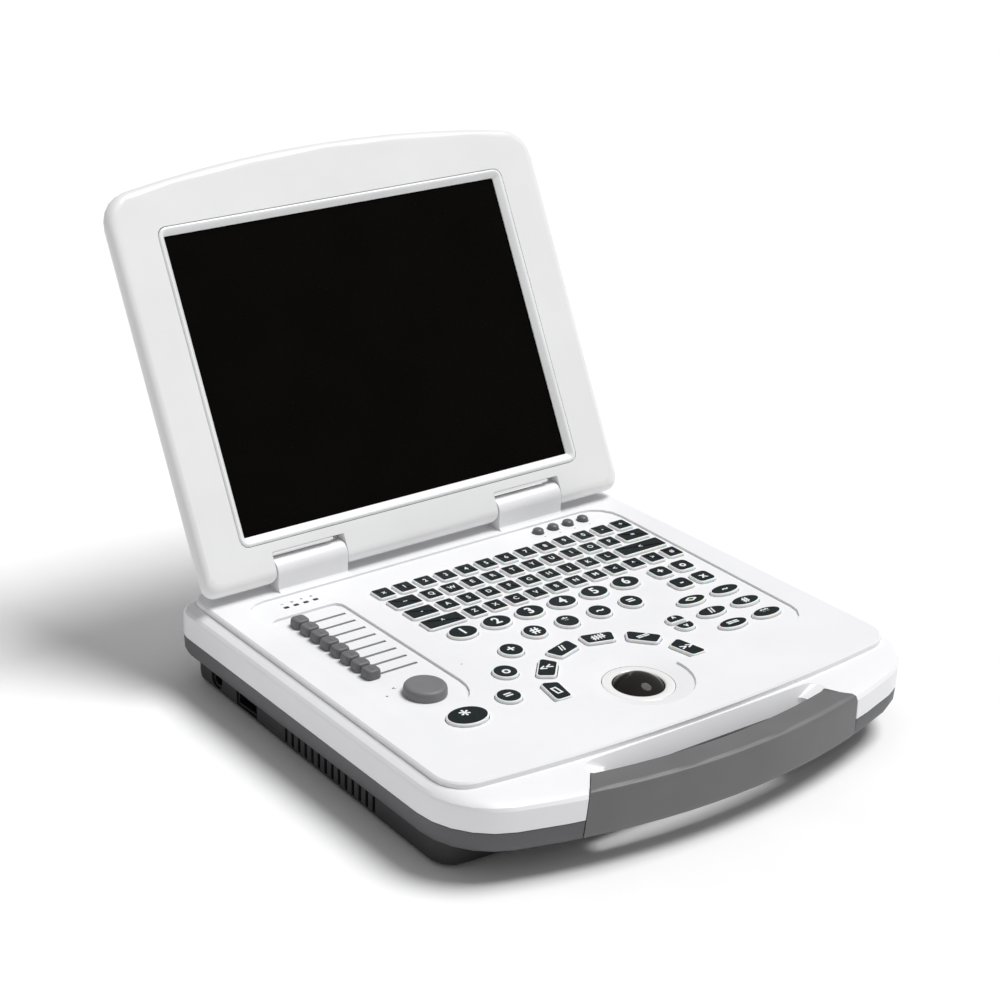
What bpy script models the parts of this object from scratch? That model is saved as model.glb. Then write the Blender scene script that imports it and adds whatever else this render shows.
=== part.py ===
"""Portable ultrasound scanner: a laptop-style body with a hinged screen lid.

Everything is built in the deck frame: x = 0 is the middle of the body, z = 0 is the raised deck
and y = 0 is the line where the open screen's face meets the deck. The lid's pieces are built in
the lid's own frame, whose origin lies on the hinge axis. settle() then moves the whole scanner so
that the middle of its foot print is the world's origin.
"""
import math

import bmesh
import bpy
from mathutils import Matrix, Vector

MM = 0.001
GAP = 0.3 * MM
OVERLAP = 0.5 * MM

# Body, seen from above: half widths at the rear and at the front, and the bowed front
BODY_REAR = 33 * MM
BODY_FRONT = -243.5 * MM
BODY_REAR_HALF = 139.6 * MM
BODY_FRONT_HALF = 147.9 * MM
BODY_BOW = 375 * MM
BODY_REAR_CORNER = 14 * MM
BODY_FRONT_CORNER = 40 * MM
WALL = 2.4 * MM

# Raised deck on top of the body
DECK_REAR = BODY_REAR - 6 * MM
DECK_FRONT = BODY_FRONT + 31.2 * MM
DECK_REAR_HALF = BODY_REAR_HALF - 6 * MM
DECK_FRONT_HALF = BODY_FRONT_HALF - 6.9 * MM
DECK_BOW = 1030 * MM
DECK_REAR_CORNER = 9 * MM
DECK_FRONT_CORNER = 16 * MM
GROOVE_DEPTH = 3.2 * MM

# Heights below the deck
COVER_SPLIT = -19 * MM
COVER_SHOULDER = -8.2 * MM
COVER_INSIDE = -3.6 * MM
LOWER_BOTTOM = -31 * MM
LOWER_FLANGE = 2.4 * MM
BASE_BOTTOM = -44.5 * MM
BASE_FLOOR = 2.2 * MM
FOOT_HEIGHT = 1.5 * MM
FOOT_RADIUS = 8 * MM
FOOT_SPREAD_X = 118 * MM
FOOT_REAR = 6 * MM
FOOT_FRONT = -182 * MM

# Dark base under the lower cover
BASE_REAR = BODY_REAR - 7 * MM
BASE_FRONT = BODY_FRONT + 36.5 * MM
BASE_REAR_HALF = BODY_REAR_HALF - 7.2 * MM
BASE_FRONT_HALF = BODY_FRONT_HALF - 5.7 * MM
BASE_BOW = 1400 * MM
BASE_REAR_CORNER = 10 * MM
BASE_FRONT_CORNER = 13 * MM
FLANGE_SEAT = 5 * MM
VENT_WIDTH = 2.2 * MM
VENT_HEIGHT = 8.6 * MM
VENT_PITCH = 6 * MM
VENT_COUNT = 14
VENT_START = -65 * MM

# Control panel, sunk into the deck
PANEL_DEPTH = 1.2 * MM
PANEL_HALF = 121 * MM
PANEL_REAR = 2 * MM
PANEL_FRONT = -165 * MM
PANEL_CORNER = 16 * MM

# Depth-gain sliders and the gain knob in their own recess
RECESS_FLOOR = -2.6 * MM
RECESS_X = -93.4 * MM
RECESS_HALF = 21.5 * MM
RECESS_REAR = -17.5 * MM
RECESS_CORNER = 5 * MM
RECESS_SKIN = 1.2 * MM
SLIDER_COUNT = 8
SLIDER_PITCH = 9.08 * MM
SLIDER_FIRST_Y = -28.0 * MM
SLIDER_REST_X = -103.4 * MM
SLIDER_TRAVEL = 26 * MM
SLIDER_SLANT = 0.029
SLOT_WIDTH = 1.8 * MM
STEM_WIDTH = 1.1 * MM
STEM_LENGTH = 3.2 * MM
SLIDER_KNOB = 7.4 * MM
SLIDER_KNOB_TOP = 2.2 * MM
GAIN_Y = -119.7 * MM
GAIN_RADIUS = 10.85 * MM
GAIN_TOP = 3.5 * MM
GAIN_STEM_RADIUS = 3 * MM
ENCODER_SIZE = 14 * MM
ENCODER_TOP = -5 * MM
ENCODER_BOTTOM = -14 * MM

# Trackball
BALL_RADIUS = 17 * MM
BALL_TOP = 2.1 * MM
BALL_CENTRE_Z = BALL_TOP - BALL_RADIUS
BALL_Y = -168.1 * MM
BALL_CLEARANCE = 0.55 * MM
RING_LIP_Z = -3.5 * MM
RING_WIDTH = 5.2 * MM
DISH_WIDTH = 9 * MM
DISH_DEPTH = 2.9 * MM
DISH_SKIN_BOTTOM = -6 * MM
HOUSING_WALL = 4 * MM
HOUSING_FLOOR = 2.6 * MM
HOUSING_TOP = DISH_SKIN_BOTTOM - GAP

# Keys: letter block, laid out on a grid of key units
KEY_PITCH_X = 13.41 * MM
KEY_PITCH_Y = 14.08 * MM
KEY_BLOCK_X = 31.8 * MM
KEY_ROW_Y = -23.7 * MM
KEY_ROWS = (
    (1,) * 13,
    (1.5,) + (1,) * 10 + (1.5,),
    (1.5,) + (1,) * 9 + (2.5,),
    (2,) + (1,) * 11,
)
KEY_MARGIN = 2.9 * MM
KEY_DEPTH = 10.6 * MM
KEY_CORNER = 1.4 * MM
KEY_TOP = 0.7 * MM
KEY_BEVEL = 0.5 * MM
KEY_HOLE_GAP = 0.5 * MM
MAT_TOP = COVER_INSIDE - GAP
MAT_BOTTOM = -6 * MM
MAT_MARGIN = 1 * MM
FLANGE_TOP = -4.1 * MM
FLANGE_THICKNESS = 0.8 * MM
FLANGE_GROW = 0.9 * MM
BOARD_TOP = -6.3 * MM
BOARD_THICKNESS = 1.6 * MM

# Function keys
OVAL_SIZE = (17 * MM, 13 * MM)
OVAL_Y = -81.6 * MM
OVAL_FIRST_X = -41.5 * MM
OVAL_PITCH = 21.48 * MM
OVAL_COUNT = 6
ROUND_SIZE = (13.2 * MM, 13.2 * MM)
ROUND_ROW_Y = -100.7 * MM
ROUND_FIRST_X = -10.7 * MM
ROUND_PITCH = 21.33 * MM
ROUND_COUNT = 4
OUTER_ROUNDS = ((-33.4 * MM, -110.3 * MM), (-50.4 * MM, -127.1 * MM), (-64.5 * MM, -147.6 * MM))
FREEZE_SIZE = (22.3 * MM, 17 * MM)
FREEZE_PLACE = (-93.1 * MM, -152.6 * MM)
ARC_CENTRE_Y = -165.1 * MM
ARC_RADIUS = 43.3 * MM
ARC_SIZE = (17.6 * MM, 10 * MM)
ARC_CORNER = 2.4 * MM
ARC_ANGLES = (168, 136.5, 105.5, 74.5, 43.5, 12)
MENU_SIZE = (10.8 * MM, 7.0 * MM)
MENU_X = 58.2 * MM
MENU_Y = (-128.6 * MM, -137.8 * MM)
SQUARE_SIZE = (12.2 * MM, 11.6 * MM)
SQUARE_CORNER = 3.2 * MM
SQUARE_X = (90.1 * MM, 105.3 * MM)
SQUARE_Y = (-82.1 * MM, -98.4 * MM)
LONG_OVAL_SIZE = (18.6 * MM, 9.4 * MM)
LONG_OVAL_X = (80.7 * MM, 104.2 * MM)
LONG_OVAL_Y = (-116.7 * MM, -132.4 * MM, -148.5 * MM)
REAR_BUTTON_SIZE = (6.2 * MM, 6.2 * MM)
REAR_BUTTON_FIRST_X = 68.5 * MM
REAR_BUTTON_PITCH = 10.5 * MM
REAR_BUTTON_Y = -5.6 * MM
REAR_BUTTON_COUNT = 4
REAR_BUTTON_TOP = 1.6 * MM
LAMP_FIRST_X = -98.6 * MM
LAMP_PITCH = 5.95 * MM
LAMP_Y = -8.8 * MM
LAMP_COUNT = 4
LAMP_SIZE = (2.6 * MM, 1.6 * MM)

# Carrying handle and the finger opening behind it
HANDLE_DEPTH = 15 * MM
HANDLE_FRONT_HALF = 85.5 * MM
HANDLE_REAR_HALF = 74.5 * MM
HANDLE_FLARE = 0.08
HANDLE_TOP = -4.6 * MM
FINGER_HALF = 62.5 * MM
FINGER_REAR = BODY_FRONT + 25.5 * MM
SCOOP_HALF = 78 * MM
SCOOP_CORNER = 10 * MM
SCOOP_REAR = BODY_FRONT + 30.1 * MM
SCOOP_BOTTOM = -12 * MM
POCKET_WALL = 2 * MM

# Hinge and lid
LID_TILT = math.radians(28.87)
HINGE_Y = 12.88 * MM
HINGE_Z = 9.69 * MM
BARREL_RADIUS = 6.6 * MM
KNUCKLE_RADIUS = 6.9 * MM
KNUCKLE_INNER_X = 50.3 * MM
KNUCKLE_OUTER_X = 93.6 * MM
KNUCKLE_WALL = 2 * MM
NOTCH_CLEARANCE = 0.6 * MM
NOTCH_TOP = KNUCKLE_RADIUS + 2 * MM
NOTCH_ROUND = 3.5 * MM
SHAFT_RADIUS = 2.5 * MM
SHAFT_GAP = 0.2 * MM
SHAFT_INNER_X = 60 * MM
ARM_THICKNESS = 2.4 * MM
ARM_TOP = 30 * MM
BRACKET_WEB = 3 * MM
BRACKET_FOOT = 10 * MM
LID_BOW = 831 * MM
LID_BOTTOM_CORNER = 7 * MM
LID_TOP_CORNER = 18 * MM
LID_BACK = 13.4 * MM
LID_CAVITY_BOTTOM = 11 * MM
SCREEN_WIDTH = 212.2 * MM
SCREEN_HEIGHT = 158.6 * MM
SCREEN_BOTTOM = 19.4 * MM
SCREEN_X = -0.7 * MM
RING_LEFT = 3.7 * MM
RING_RIGHT = 5.4 * MM
RING_BOTTOM = 5 * MM
RING_TOP = 4.6 * MM
RING_CORNER = 5 * MM
LID_HALF = SCREEN_WIDTH / 2 + 30.4 * MM
LID_TOP = SCREEN_BOTTOM + SCREEN_HEIGHT + 34.9 * MM
ARM_X = (LID_HALF - 17.5 * MM, LID_HALF - 7.5 * MM)
GLASS_DEPTH = 2.6 * MM
GLASS_THICKNESS = 1.2 * MM
GLASS_MARGIN = 1.4 * MM
PANEL_BORDER = 6.6 * MM
LCD_THICKNESS = 7 * MM

# Things inside the base: low and high corners
BATTERY = ((38 * MM, -186 * MM, -41.5 * MM), (122 * MM, -120 * MM, -22 * MM))
MAIN_BOARD = ((-98 * MM, -114 * MM, -38.4 * MM), (104 * MM, 6 * MM, -36.8 * MM))
CHIPS = (
    ((-20 * MM, -70 * MM), (15 * MM, -35 * MM), 4 * MM),
    ((30 * MM, -96 * MM), (52 * MM, -74 * MM), 3 * MM),
    ((-80 * MM, -40 * MM), (-50 * MM, -20 * MM), 9 * MM),
    ((60 * MM, -50 * MM), (90 * MM, -20 * MM), 6 * MM),
)
FAN_CENTRE = (-108 * MM, -150 * MM)
FAN_SIZE = 40 * MM
FAN_BOTTOM = -42 * MM
FAN_THICKNESS = 10 * MM
FAN_BORE = 18.4 * MM
FAN_HUB = 9 * MM
FAN_BLADES = 7
POWER_INLET_Y = 2.1 * MM
POWER_INLET_Z = -37.0 * MM
POWER_INLET_RADIUS = 5 * MM
DATA_SOCKET_Y = -27.3 * MM
DATA_SOCKET_SIZE = (19 * MM, 7 * MM)
DATA_SOCKET_Z = -38.4 * MM
PROBE_SOCKET_Y = -60 * MM
PROBE_SOCKET_SIZE = (48 * MM, 9.6 * MM)
PROBE_SOCKET_Z = -37.2 * MM
SOCKET_DEPTH = 16 * MM

BOW_STEPS = 10
CORNER_STEPS = 5
ROUND_STEPS = 24


# ---------------------------------------------------------------- materials

def linear(channel):
    """Turn one sRGB channel into the linear value that a shader needs."""
    if channel <= 0.04045:
        return channel / 12.92
    return ((channel + 0.055) / 1.055) ** 2.4


def material(name, colour, roughness, metallic=0.0):
    """Make a Principled material from an sRGB hex colour."""
    made = bpy.data.materials.new(name)
    made.use_nodes = True
    shader = made.node_tree.nodes["Principled BSDF"]
    channels = [int(colour[i:i + 2], 16) / 255 for i in (0, 2, 4)]
    shader.inputs["Base Color"].default_value = [linear(c) for c in channels] + [1]
    shader.inputs["Roughness"].default_value = roughness
    shader.inputs["Metallic"].default_value = metallic
    return made


# ---------------------------------------------------------------- outlines

def arc(centre, radius, start, end, steps):
    """Points along an arc, both ends included; angles are in radians."""
    angles = [start + (end - start) * i / steps for i in range(steps + 1)]
    return [(centre[0] + radius * math.cos(a), centre[1] + radius * math.sin(a)) for a in angles]


def bowed_outline(flat_half, bow_half, span, bow_radius, flat_corner, bow_corner):
    """Closed outline with a straight end at w = 0 and a bowed end that reaches w = span.

    The sides run straight from flat_half to bow_half, and all four corners are round.
    """
    side = Vector((bow_half - flat_half, span)).normalized()
    inward = Vector((-side.y, side.x))
    start = Vector((flat_half, 0))
    flat_run = (flat_corner - inward.y * flat_corner) / side.y
    flat_centre = start + inward * flat_corner + side * flat_run
    bow_centre = Vector((0, span - bow_radius))
    offset = start + inward * bow_corner - bow_centre
    half_b = offset.dot(side)
    reach = (bow_radius - bow_corner) ** 2
    run = -half_b + math.sqrt(half_b ** 2 - offset.dot(offset) + reach)
    corner = start + inward * bow_corner + side * run
    outward = math.atan2(-inward.y, -inward.x)
    toward = math.atan2(corner.y - bow_centre.y, corner.x - bow_centre.x)
    half = arc(flat_centre, flat_corner, -math.pi / 2, outward, CORNER_STEPS)
    half += arc(corner, bow_corner, outward, toward, CORNER_STEPS)
    bow = arc(bow_centre, bow_radius, toward, math.pi / 2, BOW_STEPS // 2)
    half += bow[1:]
    return half + [(-x, w) for x, w in reversed(half[:-1])]


def round_rectangle(width, depth, corners, steps=2):
    """Closed outline about (0, 0); corners lists the radii from low-left, anticlockwise."""
    half_w, half_d = width / 2, depth / 2
    places = ((-half_w, -half_d), (half_w, -half_d), (half_w, half_d), (-half_w, half_d))
    outline = []
    for index, ((x, y), radius) in enumerate(zip(places, corners)):
        centre = (x - math.copysign(radius, x), y - math.copysign(radius, y))
        start = math.pi + index * math.pi / 2
        outline += arc(centre, radius, start, start + math.pi / 2, steps)
    return outline


def ellipse(width, depth, steps=16):
    """Closed ellipse about (0, 0)."""
    angles = [2 * math.pi * i / steps for i in range(steps)]
    return [(width / 2 * math.cos(a), depth / 2 * math.sin(a)) for a in angles]


def moved(outline, place):
    """An outline moved to a place."""
    return [(x + place[0], y + place[1]) for x, y in outline]


def grown(outline, distance):
    """A convex anticlockwise outline moved outwards by a distance."""
    result = []
    count = len(outline)
    for index in range(count):
        before = Vector(outline[index - 1])
        here = Vector(outline[index])
        after = Vector(outline[(index + 1) % count])
        first = (here - before).normalized()
        second = (after - here).normalized()
        normal = Vector((first.y + second.y, -first.x - second.x)).normalized()
        mitre = normal.dot(Vector((first.y, -first.x)))
        place = here + normal * distance / mitre
        result.append((place.x, place.y))
    return result


def blended(first, second, share):
    """Points between two outlines with equally many points."""
    pairs = zip(first, second)
    return [(a[0] + (b[0] - a[0]) * share, a[1] + (b[1] - a[1]) * share) for a, b in pairs]


def flat_ring(outline, height):
    """Lay an outline at a height."""
    return [(x, y, height) for x, y in outline]


def body_outline(inset):
    """The body from above, moved inwards by inset."""
    outline = bowed_outline(
        BODY_REAR_HALF - inset, BODY_FRONT_HALF - inset, BODY_REAR - BODY_FRONT - 2 * inset,
        BODY_BOW - inset, max(BODY_REAR_CORNER - inset, MM), BODY_FRONT_CORNER - inset)
    return [(x, BODY_REAR - inset - w) for x, w in outline]


def deck_outline(inset):
    """The raised deck from above, moved inwards by inset."""
    outline = bowed_outline(
        DECK_REAR_HALF - inset, DECK_FRONT_HALF - inset, DECK_REAR - DECK_FRONT - 2 * inset,
        DECK_BOW - inset, max(DECK_REAR_CORNER - inset, MM), DECK_FRONT_CORNER - inset)
    return [(x, DECK_REAR - inset - w) for x, w in outline]


def base_outline(inset):
    """The dark base from above, moved inwards by inset."""
    outline = bowed_outline(
        BASE_REAR_HALF - inset, BASE_FRONT_HALF - inset, BASE_REAR - BASE_FRONT - 2 * inset,
        BASE_BOW - inset, max(BASE_REAR_CORNER - inset, MM), max(BASE_FRONT_CORNER - inset, MM))
    return [(x, BASE_REAR - inset - w) for x, w in outline]


# ---------------------------------------------------------------- solids

def solid(name, points, faces, finish=None):
    """Make a closed mesh object with its faces pointing outwards."""
    mesh = bpy.data.meshes.new(name)
    mesh.from_pydata(points, [], faces)
    shape = bmesh.new()
    shape.from_mesh(mesh)
    bmesh.ops.recalc_face_normals(shape, faces=shape.faces)
    shape.to_mesh(mesh)
    shape.free()
    made = bpy.data.objects.new(name, mesh)
    bpy.context.scene.collection.objects.link(made)
    if finish:
        made.data.materials.append(finish)
    return made


def loft(name, rings, finish=None, closed=False):
    """Skin a row of rings with equally many points; closed joins the last ring to the first."""
    count = len(rings[0])
    points = [point for ring in rings for point in ring]
    faces = []
    for level in range(len(rings) - (0 if closed else 1)):
        low = level * count
        high = (level + 1) % len(rings) * count
        for index in range(count):
            after = (index + 1) % count
            faces.append((low + index, low + after, high + after, high + index))
    if not closed:
        faces.append(tuple(reversed(range(count))))
        faces.append(tuple(range(len(points) - count, len(points))))
    return solid(name, points, faces, finish)


def prism(name, outline, bottom, top, finish=None):
    """Raise an outline from bottom to top."""
    return loft(name, [flat_ring(outline, bottom), flat_ring(outline, top)], finish)


def block(name, low, high, finish=None):
    """A box between two corners."""
    outline = [(low[0], low[1]), (high[0], low[1]), (high[0], high[1]), (low[0], high[1])]
    return prism(name, outline, low[2], high[2], finish)


def turned(name, place, profile, finish=None, closed=False, steps=ROUND_STEPS):
    """Turn a profile of (radius, height) about a vertical axis at place."""
    circle = ellipse(2, 2, steps)
    rings = [flat_ring(moved([(x * r, y * r) for x, y in circle], place), z) for r, z in profile]
    return loft(name, rings, finish, closed)


def rod(name, radius, start, end, centre, finish=None, steps=ROUND_STEPS):
    """A round bar along X between two x values; centre is its (y, z)."""
    circle = moved(ellipse(2 * radius, 2 * radius, steps), centre)
    rings = [[(x, y, z) for y, z in circle] for x in (start, end)]
    return loft(name, rings, finish)


def slab_x(name, profile, start, end, finish=None):
    """Extrude a (y, z) profile along X."""
    return loft(name, [[(x, y, z) for y, z in profile] for x in (start, end)], finish)


def slab_y(name, profile, start, end, finish=None):
    """Extrude an (x, z) profile along Y."""
    return loft(name, [[(x, y, z) for x, z in profile] for y in (start, end)], finish)


def join(tools):
    """Put separate tools into the first one."""
    shape = bmesh.new()
    for tool in tools:
        shape.from_mesh(tool.data)
    shape.to_mesh(tools[0].data)
    shape.free()
    for tool in tools[1:]:
        bpy.data.objects.remove(tool)
    return tools[0]


def combine(target, tools, operation):
    """Apply one Boolean with tools that don't touch each other, and drop the tools."""
    tool = join(tools)
    modifier = target.modifiers.new(operation.lower(), "BOOLEAN")
    modifier.operation = operation
    modifier.solver = "EXACT"
    modifier.object = tool
    bpy.context.view_layer.update()
    graph = bpy.context.evaluated_depsgraph_get()
    mesh = bpy.data.meshes.new_from_object(target.evaluated_get(graph))
    target.modifiers.clear()
    target.data = mesh
    bpy.data.objects.remove(tool)
    return target


def cut(target, tools):
    """Take the tools away from the target."""
    return combine(target, tools, "DIFFERENCE")


def unite(target, tools):
    """Add the tools to the target."""
    return combine(target, tools, "UNION")


def pivot(target, place):
    """Put the object's origin at a place without moving the shape."""
    target.data.transform(Matrix.Translation(-Vector(place)))
    target.location = place
    return target


# ---------------------------------------------------------------- key layout

def letter_keys():
    """Outlines of the letter block's keys, row by row."""
    outlines = []
    units_wide = sum(KEY_ROWS[0])
    for row, units in enumerate(KEY_ROWS):
        edge = KEY_BLOCK_X - units_wide / 2 * KEY_PITCH_X
        for unit in units:
            width = unit * KEY_PITCH_X
            place = (edge + width / 2, KEY_ROW_Y - row * KEY_PITCH_Y)
            key = round_rectangle(width - KEY_MARGIN, KEY_DEPTH, (KEY_CORNER,) * 4, steps=1)
            outlines.append(moved(key, place))
            edge += width
    return outlines


def arc_key(angle):
    """One of the keys that stand in an arc round the trackball."""
    flat = round_rectangle(ARC_SIZE[0], ARC_SIZE[1], (ARC_CORNER,) * 4)
    outline = []
    for along, across in flat:
        turn = math.radians(angle) - along / ARC_RADIUS
        radius = ARC_RADIUS + across
        outline.append((radius * math.cos(turn), ARC_CENTRE_Y + radius * math.sin(turn)))
    return outline


def menu_key(index):
    """Upper or lower half-round key of the menu pair."""
    large, small = 4.4 * MM, 1.2 * MM
    corners = (small, small, large, large) if index == 0 else (large, large, small, small)
    return moved(round_rectangle(MENU_SIZE[0], MENU_SIZE[1], corners, steps=3), (MENU_X, MENU_Y[index]))


def single_keys():
    """Name and outline of each key that is its own piece."""
    keys = {"freeze_key": moved(ellipse(*FREEZE_SIZE), FREEZE_PLACE)}
    for index, angle in enumerate(ARC_ANGLES):
        keys[f"arc_key_{index + 1}"] = arc_key(angle)
    keys["menu_key_up"] = menu_key(0)
    keys["menu_key_down"] = menu_key(1)
    for index, place in enumerate(OUTER_ROUNDS):
        keys[f"mode_key_{index + 1}"] = moved(ellipse(*ROUND_SIZE), place)
    for index in range(REAR_BUTTON_COUNT):
        place = (REAR_BUTTON_FIRST_X + index * REAR_BUTTON_PITCH, REAR_BUTTON_Y)
        keys[f"rear_button_{index + 1}"] = moved(ellipse(*REAR_BUTTON_SIZE, steps=12), place)
    return keys


def centre_mat_keys():
    """Outlines of the row of ovals under the letter block, and of the row of rounds below it."""
    ovals = [(OVAL_FIRST_X + i * OVAL_PITCH, OVAL_Y) for i in range(OVAL_COUNT)]
    rounds = [(ROUND_FIRST_X + i * ROUND_PITCH, ROUND_ROW_Y) for i in range(ROUND_COUNT)]
    upper = [moved(ellipse(*OVAL_SIZE), place) for place in ovals]
    lower = [moved(ellipse(*ROUND_SIZE), place) for place in rounds]
    return upper, lower


def side_mat_keys():
    """Outlines of the square keys at the right, and of the long ovals below them."""
    square = round_rectangle(SQUARE_SIZE[0], SQUARE_SIZE[1], (SQUARE_CORNER,) * 4)
    upper = [moved(square, (x, y)) for y in SQUARE_Y for x in SQUARE_X]
    lower = [moved(ellipse(*LONG_OVAL_SIZE), (x, y)) for y in LONG_OVAL_Y for x in LONG_OVAL_X]
    return upper, lower


def all_keys():
    """Outlines of every key on the panel."""
    groups = (letter_keys(), single_keys().values(), *centre_mat_keys(), *side_mat_keys())
    return [outline for group in groups for outline in group]


def ball_radius_at(height):
    """Radius of the trackball's section at a height."""
    return math.sqrt(BALL_RADIUS ** 2 - (height - BALL_CENTRE_Z) ** 2)


def ring_lip():
    """Inner radius of the trackball ring at its lip."""
    return ball_radius_at(RING_LIP_Z) + BALL_CLEARANCE


def dish_inner():
    """Radius of the hole that the trackball ring sits in."""
    return ring_lip() + RING_WIDTH


def dish_radius():
    """Outer radius of the hollow round the trackball."""
    return dish_inner() + DISH_WIDTH


def housing_size():
    """Side of the square cup that holds the trackball."""
    return 2 * (BALL_RADIUS + HOUSING_WALL)


def lamp_places():
    """Centres of the indicator lamps."""
    return [(LAMP_FIRST_X + i * LAMP_PITCH, LAMP_Y) for i in range(LAMP_COUNT)]


def slider_places():
    """Rest centres of the slider knobs; the row leans with the body's left side."""
    places = []
    for index in range(SLIDER_COUNT):
        drop = index * SLIDER_PITCH
        places.append((SLIDER_REST_X - SLIDER_SLANT * drop, SLIDER_FIRST_Y - drop))
    return places


# ---------------------------------------------------------------- top cover

def recess_outline(grow=0.0):
    """Recess of the sliders, with a round front end about the gain knob."""
    half = RECESS_HALF + grow
    corner = RECESS_CORNER + grow
    front = arc((RECESS_X, GAIN_Y), half, math.pi, 2 * math.pi, 12)
    rear = RECESS_REAR + grow
    right = arc((RECESS_X + half - corner, rear - corner), corner, 0, math.pi / 2, 3)
    left = arc((RECESS_X - half + corner, rear - corner), corner, math.pi / 2, math.pi, 3)
    return front + right + left


def cover_shell():
    """White shell: side band, sloping ledge, groove and raised deck, hollow from below."""
    body = body_outline(0)
    deck = deck_outline(0)
    rings = [flat_ring(body, COVER_SPLIT), flat_ring(body, COVER_SHOULDER)]
    for share, height in ((0.06, -6.6 * MM), (0.25, -5.2 * MM), (0.6, -3.9 * MM), (0.9, -3.0 * MM)):
        rings.append(flat_ring(blended(body, deck, share), height))
    rings.append(flat_ring(deck_outline(-0.7 * MM), -GROOVE_DEPTH))
    rings.append(flat_ring(deck, -GROOVE_DEPTH))
    rings.append(flat_ring(deck, -0.8 * MM))
    rings.append(flat_ring(deck_outline(0.8 * MM), 0))
    cover = loft("top_cover", rings, material("cover_white", "f2f2f0", 0.32))
    inner = body_outline(WALL)
    deck_inner = deck_outline(GROOVE_DEPTH)
    hollow = loft("hollow", [
        flat_ring(inner, COVER_SPLIT - MM), flat_ring(inner, COVER_SHOULDER - 1.5 * MM),
        flat_ring(blended(inner, deck_inner, 0.5), -6.6 * MM),
        flat_ring(deck_inner, COVER_INSIDE - 2 * MM), flat_ring(deck_outline(4.5 * MM), COVER_INSIDE)])
    return cut(cover, [hollow])


def knuckle(side):
    """Fixed half of the hinge housing, with a hollow fillet in front."""
    front = HINGE_Y - KNUCKLE_RADIUS
    fillet = 3 * MM
    profile = [(front - fillet, -MM)]
    profile += arc((front - fillet, fillet), fillet, -math.pi / 2, 0, 3)
    profile += arc((HINGE_Y, HINGE_Z), KNUCKLE_RADIUS, math.pi, 0, 12)
    profile.append((HINGE_Y + KNUCKLE_RADIUS, -MM))
    ends = (side * KNUCKLE_INNER_X, side * KNUCKLE_OUTER_X)
    return slab_x("knuckle", profile, min(ends), max(ends))


def knuckle_hollows(side):
    """Room for the hinge bracket, and the hole where the shaft leaves."""
    inner = KNUCKLE_INNER_X + 3 * KNUCKLE_WALL
    outer = KNUCKLE_OUTER_X - KNUCKLE_WALL
    room = (HINGE_Y, HINGE_Z)
    radius = KNUCKLE_RADIUS - KNUCKLE_WALL
    ends = sorted((side * inner, side * outer))
    tube = rod("room", radius, ends[0], ends[1], room)
    web = BRACKET_WEB / 2 + 2 * GAP
    slot = block("slot", (ends[0], HINGE_Y - web, COVER_INSIDE - 2 * MM), (ends[1], HINGE_Y + web, HINGE_Z))
    ends = sorted((side * (outer - MM), side * (KNUCKLE_OUTER_X + MM)))
    hole = rod("hole", SHAFT_RADIUS + 2 * SHAFT_GAP, ends[0], ends[1], room)
    return tube, slot, hole


def scoop_outline(half, rear, corner):
    """Outline of the finger scoop at one height: straight in front, round at the rear."""
    front = BODY_FRONT + HANDLE_DEPTH - 2 * MM
    right = arc((half - corner, rear - corner), corner, 0, math.pi / 2, 4)
    left = arc((corner - half, rear - corner), corner, math.pi / 2, math.pi, 4)
    return [(-half, front), (half, front)] + right + left


def scoop():
    """Sloping finger scoop, wide at the deck and narrow at the opening."""
    middle = (SCOOP_REAR + FINGER_REAR) / 2
    levels = (
        (scoop_outline(SCOOP_HALF + 2 * MM, SCOOP_REAR + MM, SCOOP_CORNER), 0),
        (scoop_outline(SCOOP_HALF, SCOOP_REAR, SCOOP_CORNER), -3.4 * MM),
        (scoop_outline(FINGER_HALF + 2 * MM, middle, 4 * MM), -7.5 * MM),
        (scoop_outline(FINGER_HALF, FINGER_REAR, 3 * MM), SCOOP_BOTTOM - MM))
    return loft("scoop", [flat_ring(line, z) for line, z in levels])


def handle_outline(height, grow=0.0):
    """The handle's front and rear arcs at a height; its slanted ends spread downwards."""
    flare = HANDLE_FLARE * (HANDLE_TOP - height)
    front_half = HANDLE_FRONT_HALF + flare + grow
    rear_half = HANDLE_REAR_HALF + flare + grow
    reach = math.asin(front_half / BODY_BOW)
    centre = (0, BODY_FRONT + BODY_BOW)
    front = arc(centre, BODY_BOW, -math.pi / 2 - reach, -math.pi / 2 + reach, 12)
    rear_radius = BODY_BOW - HANDLE_DEPTH - grow
    reach = math.asin(rear_half / rear_radius)
    rear = arc(centre, rear_radius, -math.pi / 2 + reach, -math.pi / 2 - reach, 12)
    return front, rear


def handle_cutter(bottom, top):
    """Space that the handle takes from the covers."""
    rings = []
    for height in (bottom, top):
        front, rear = handle_outline(height, GAP)
        beyond = [(x, y - 12 * MM) for x, y in (front[0], front[-1])]
        rings.append(flat_ring([beyond[0], beyond[1], front[-1]] + rear + [front[0]], height))
    return loft("handle_space", rings)


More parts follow.
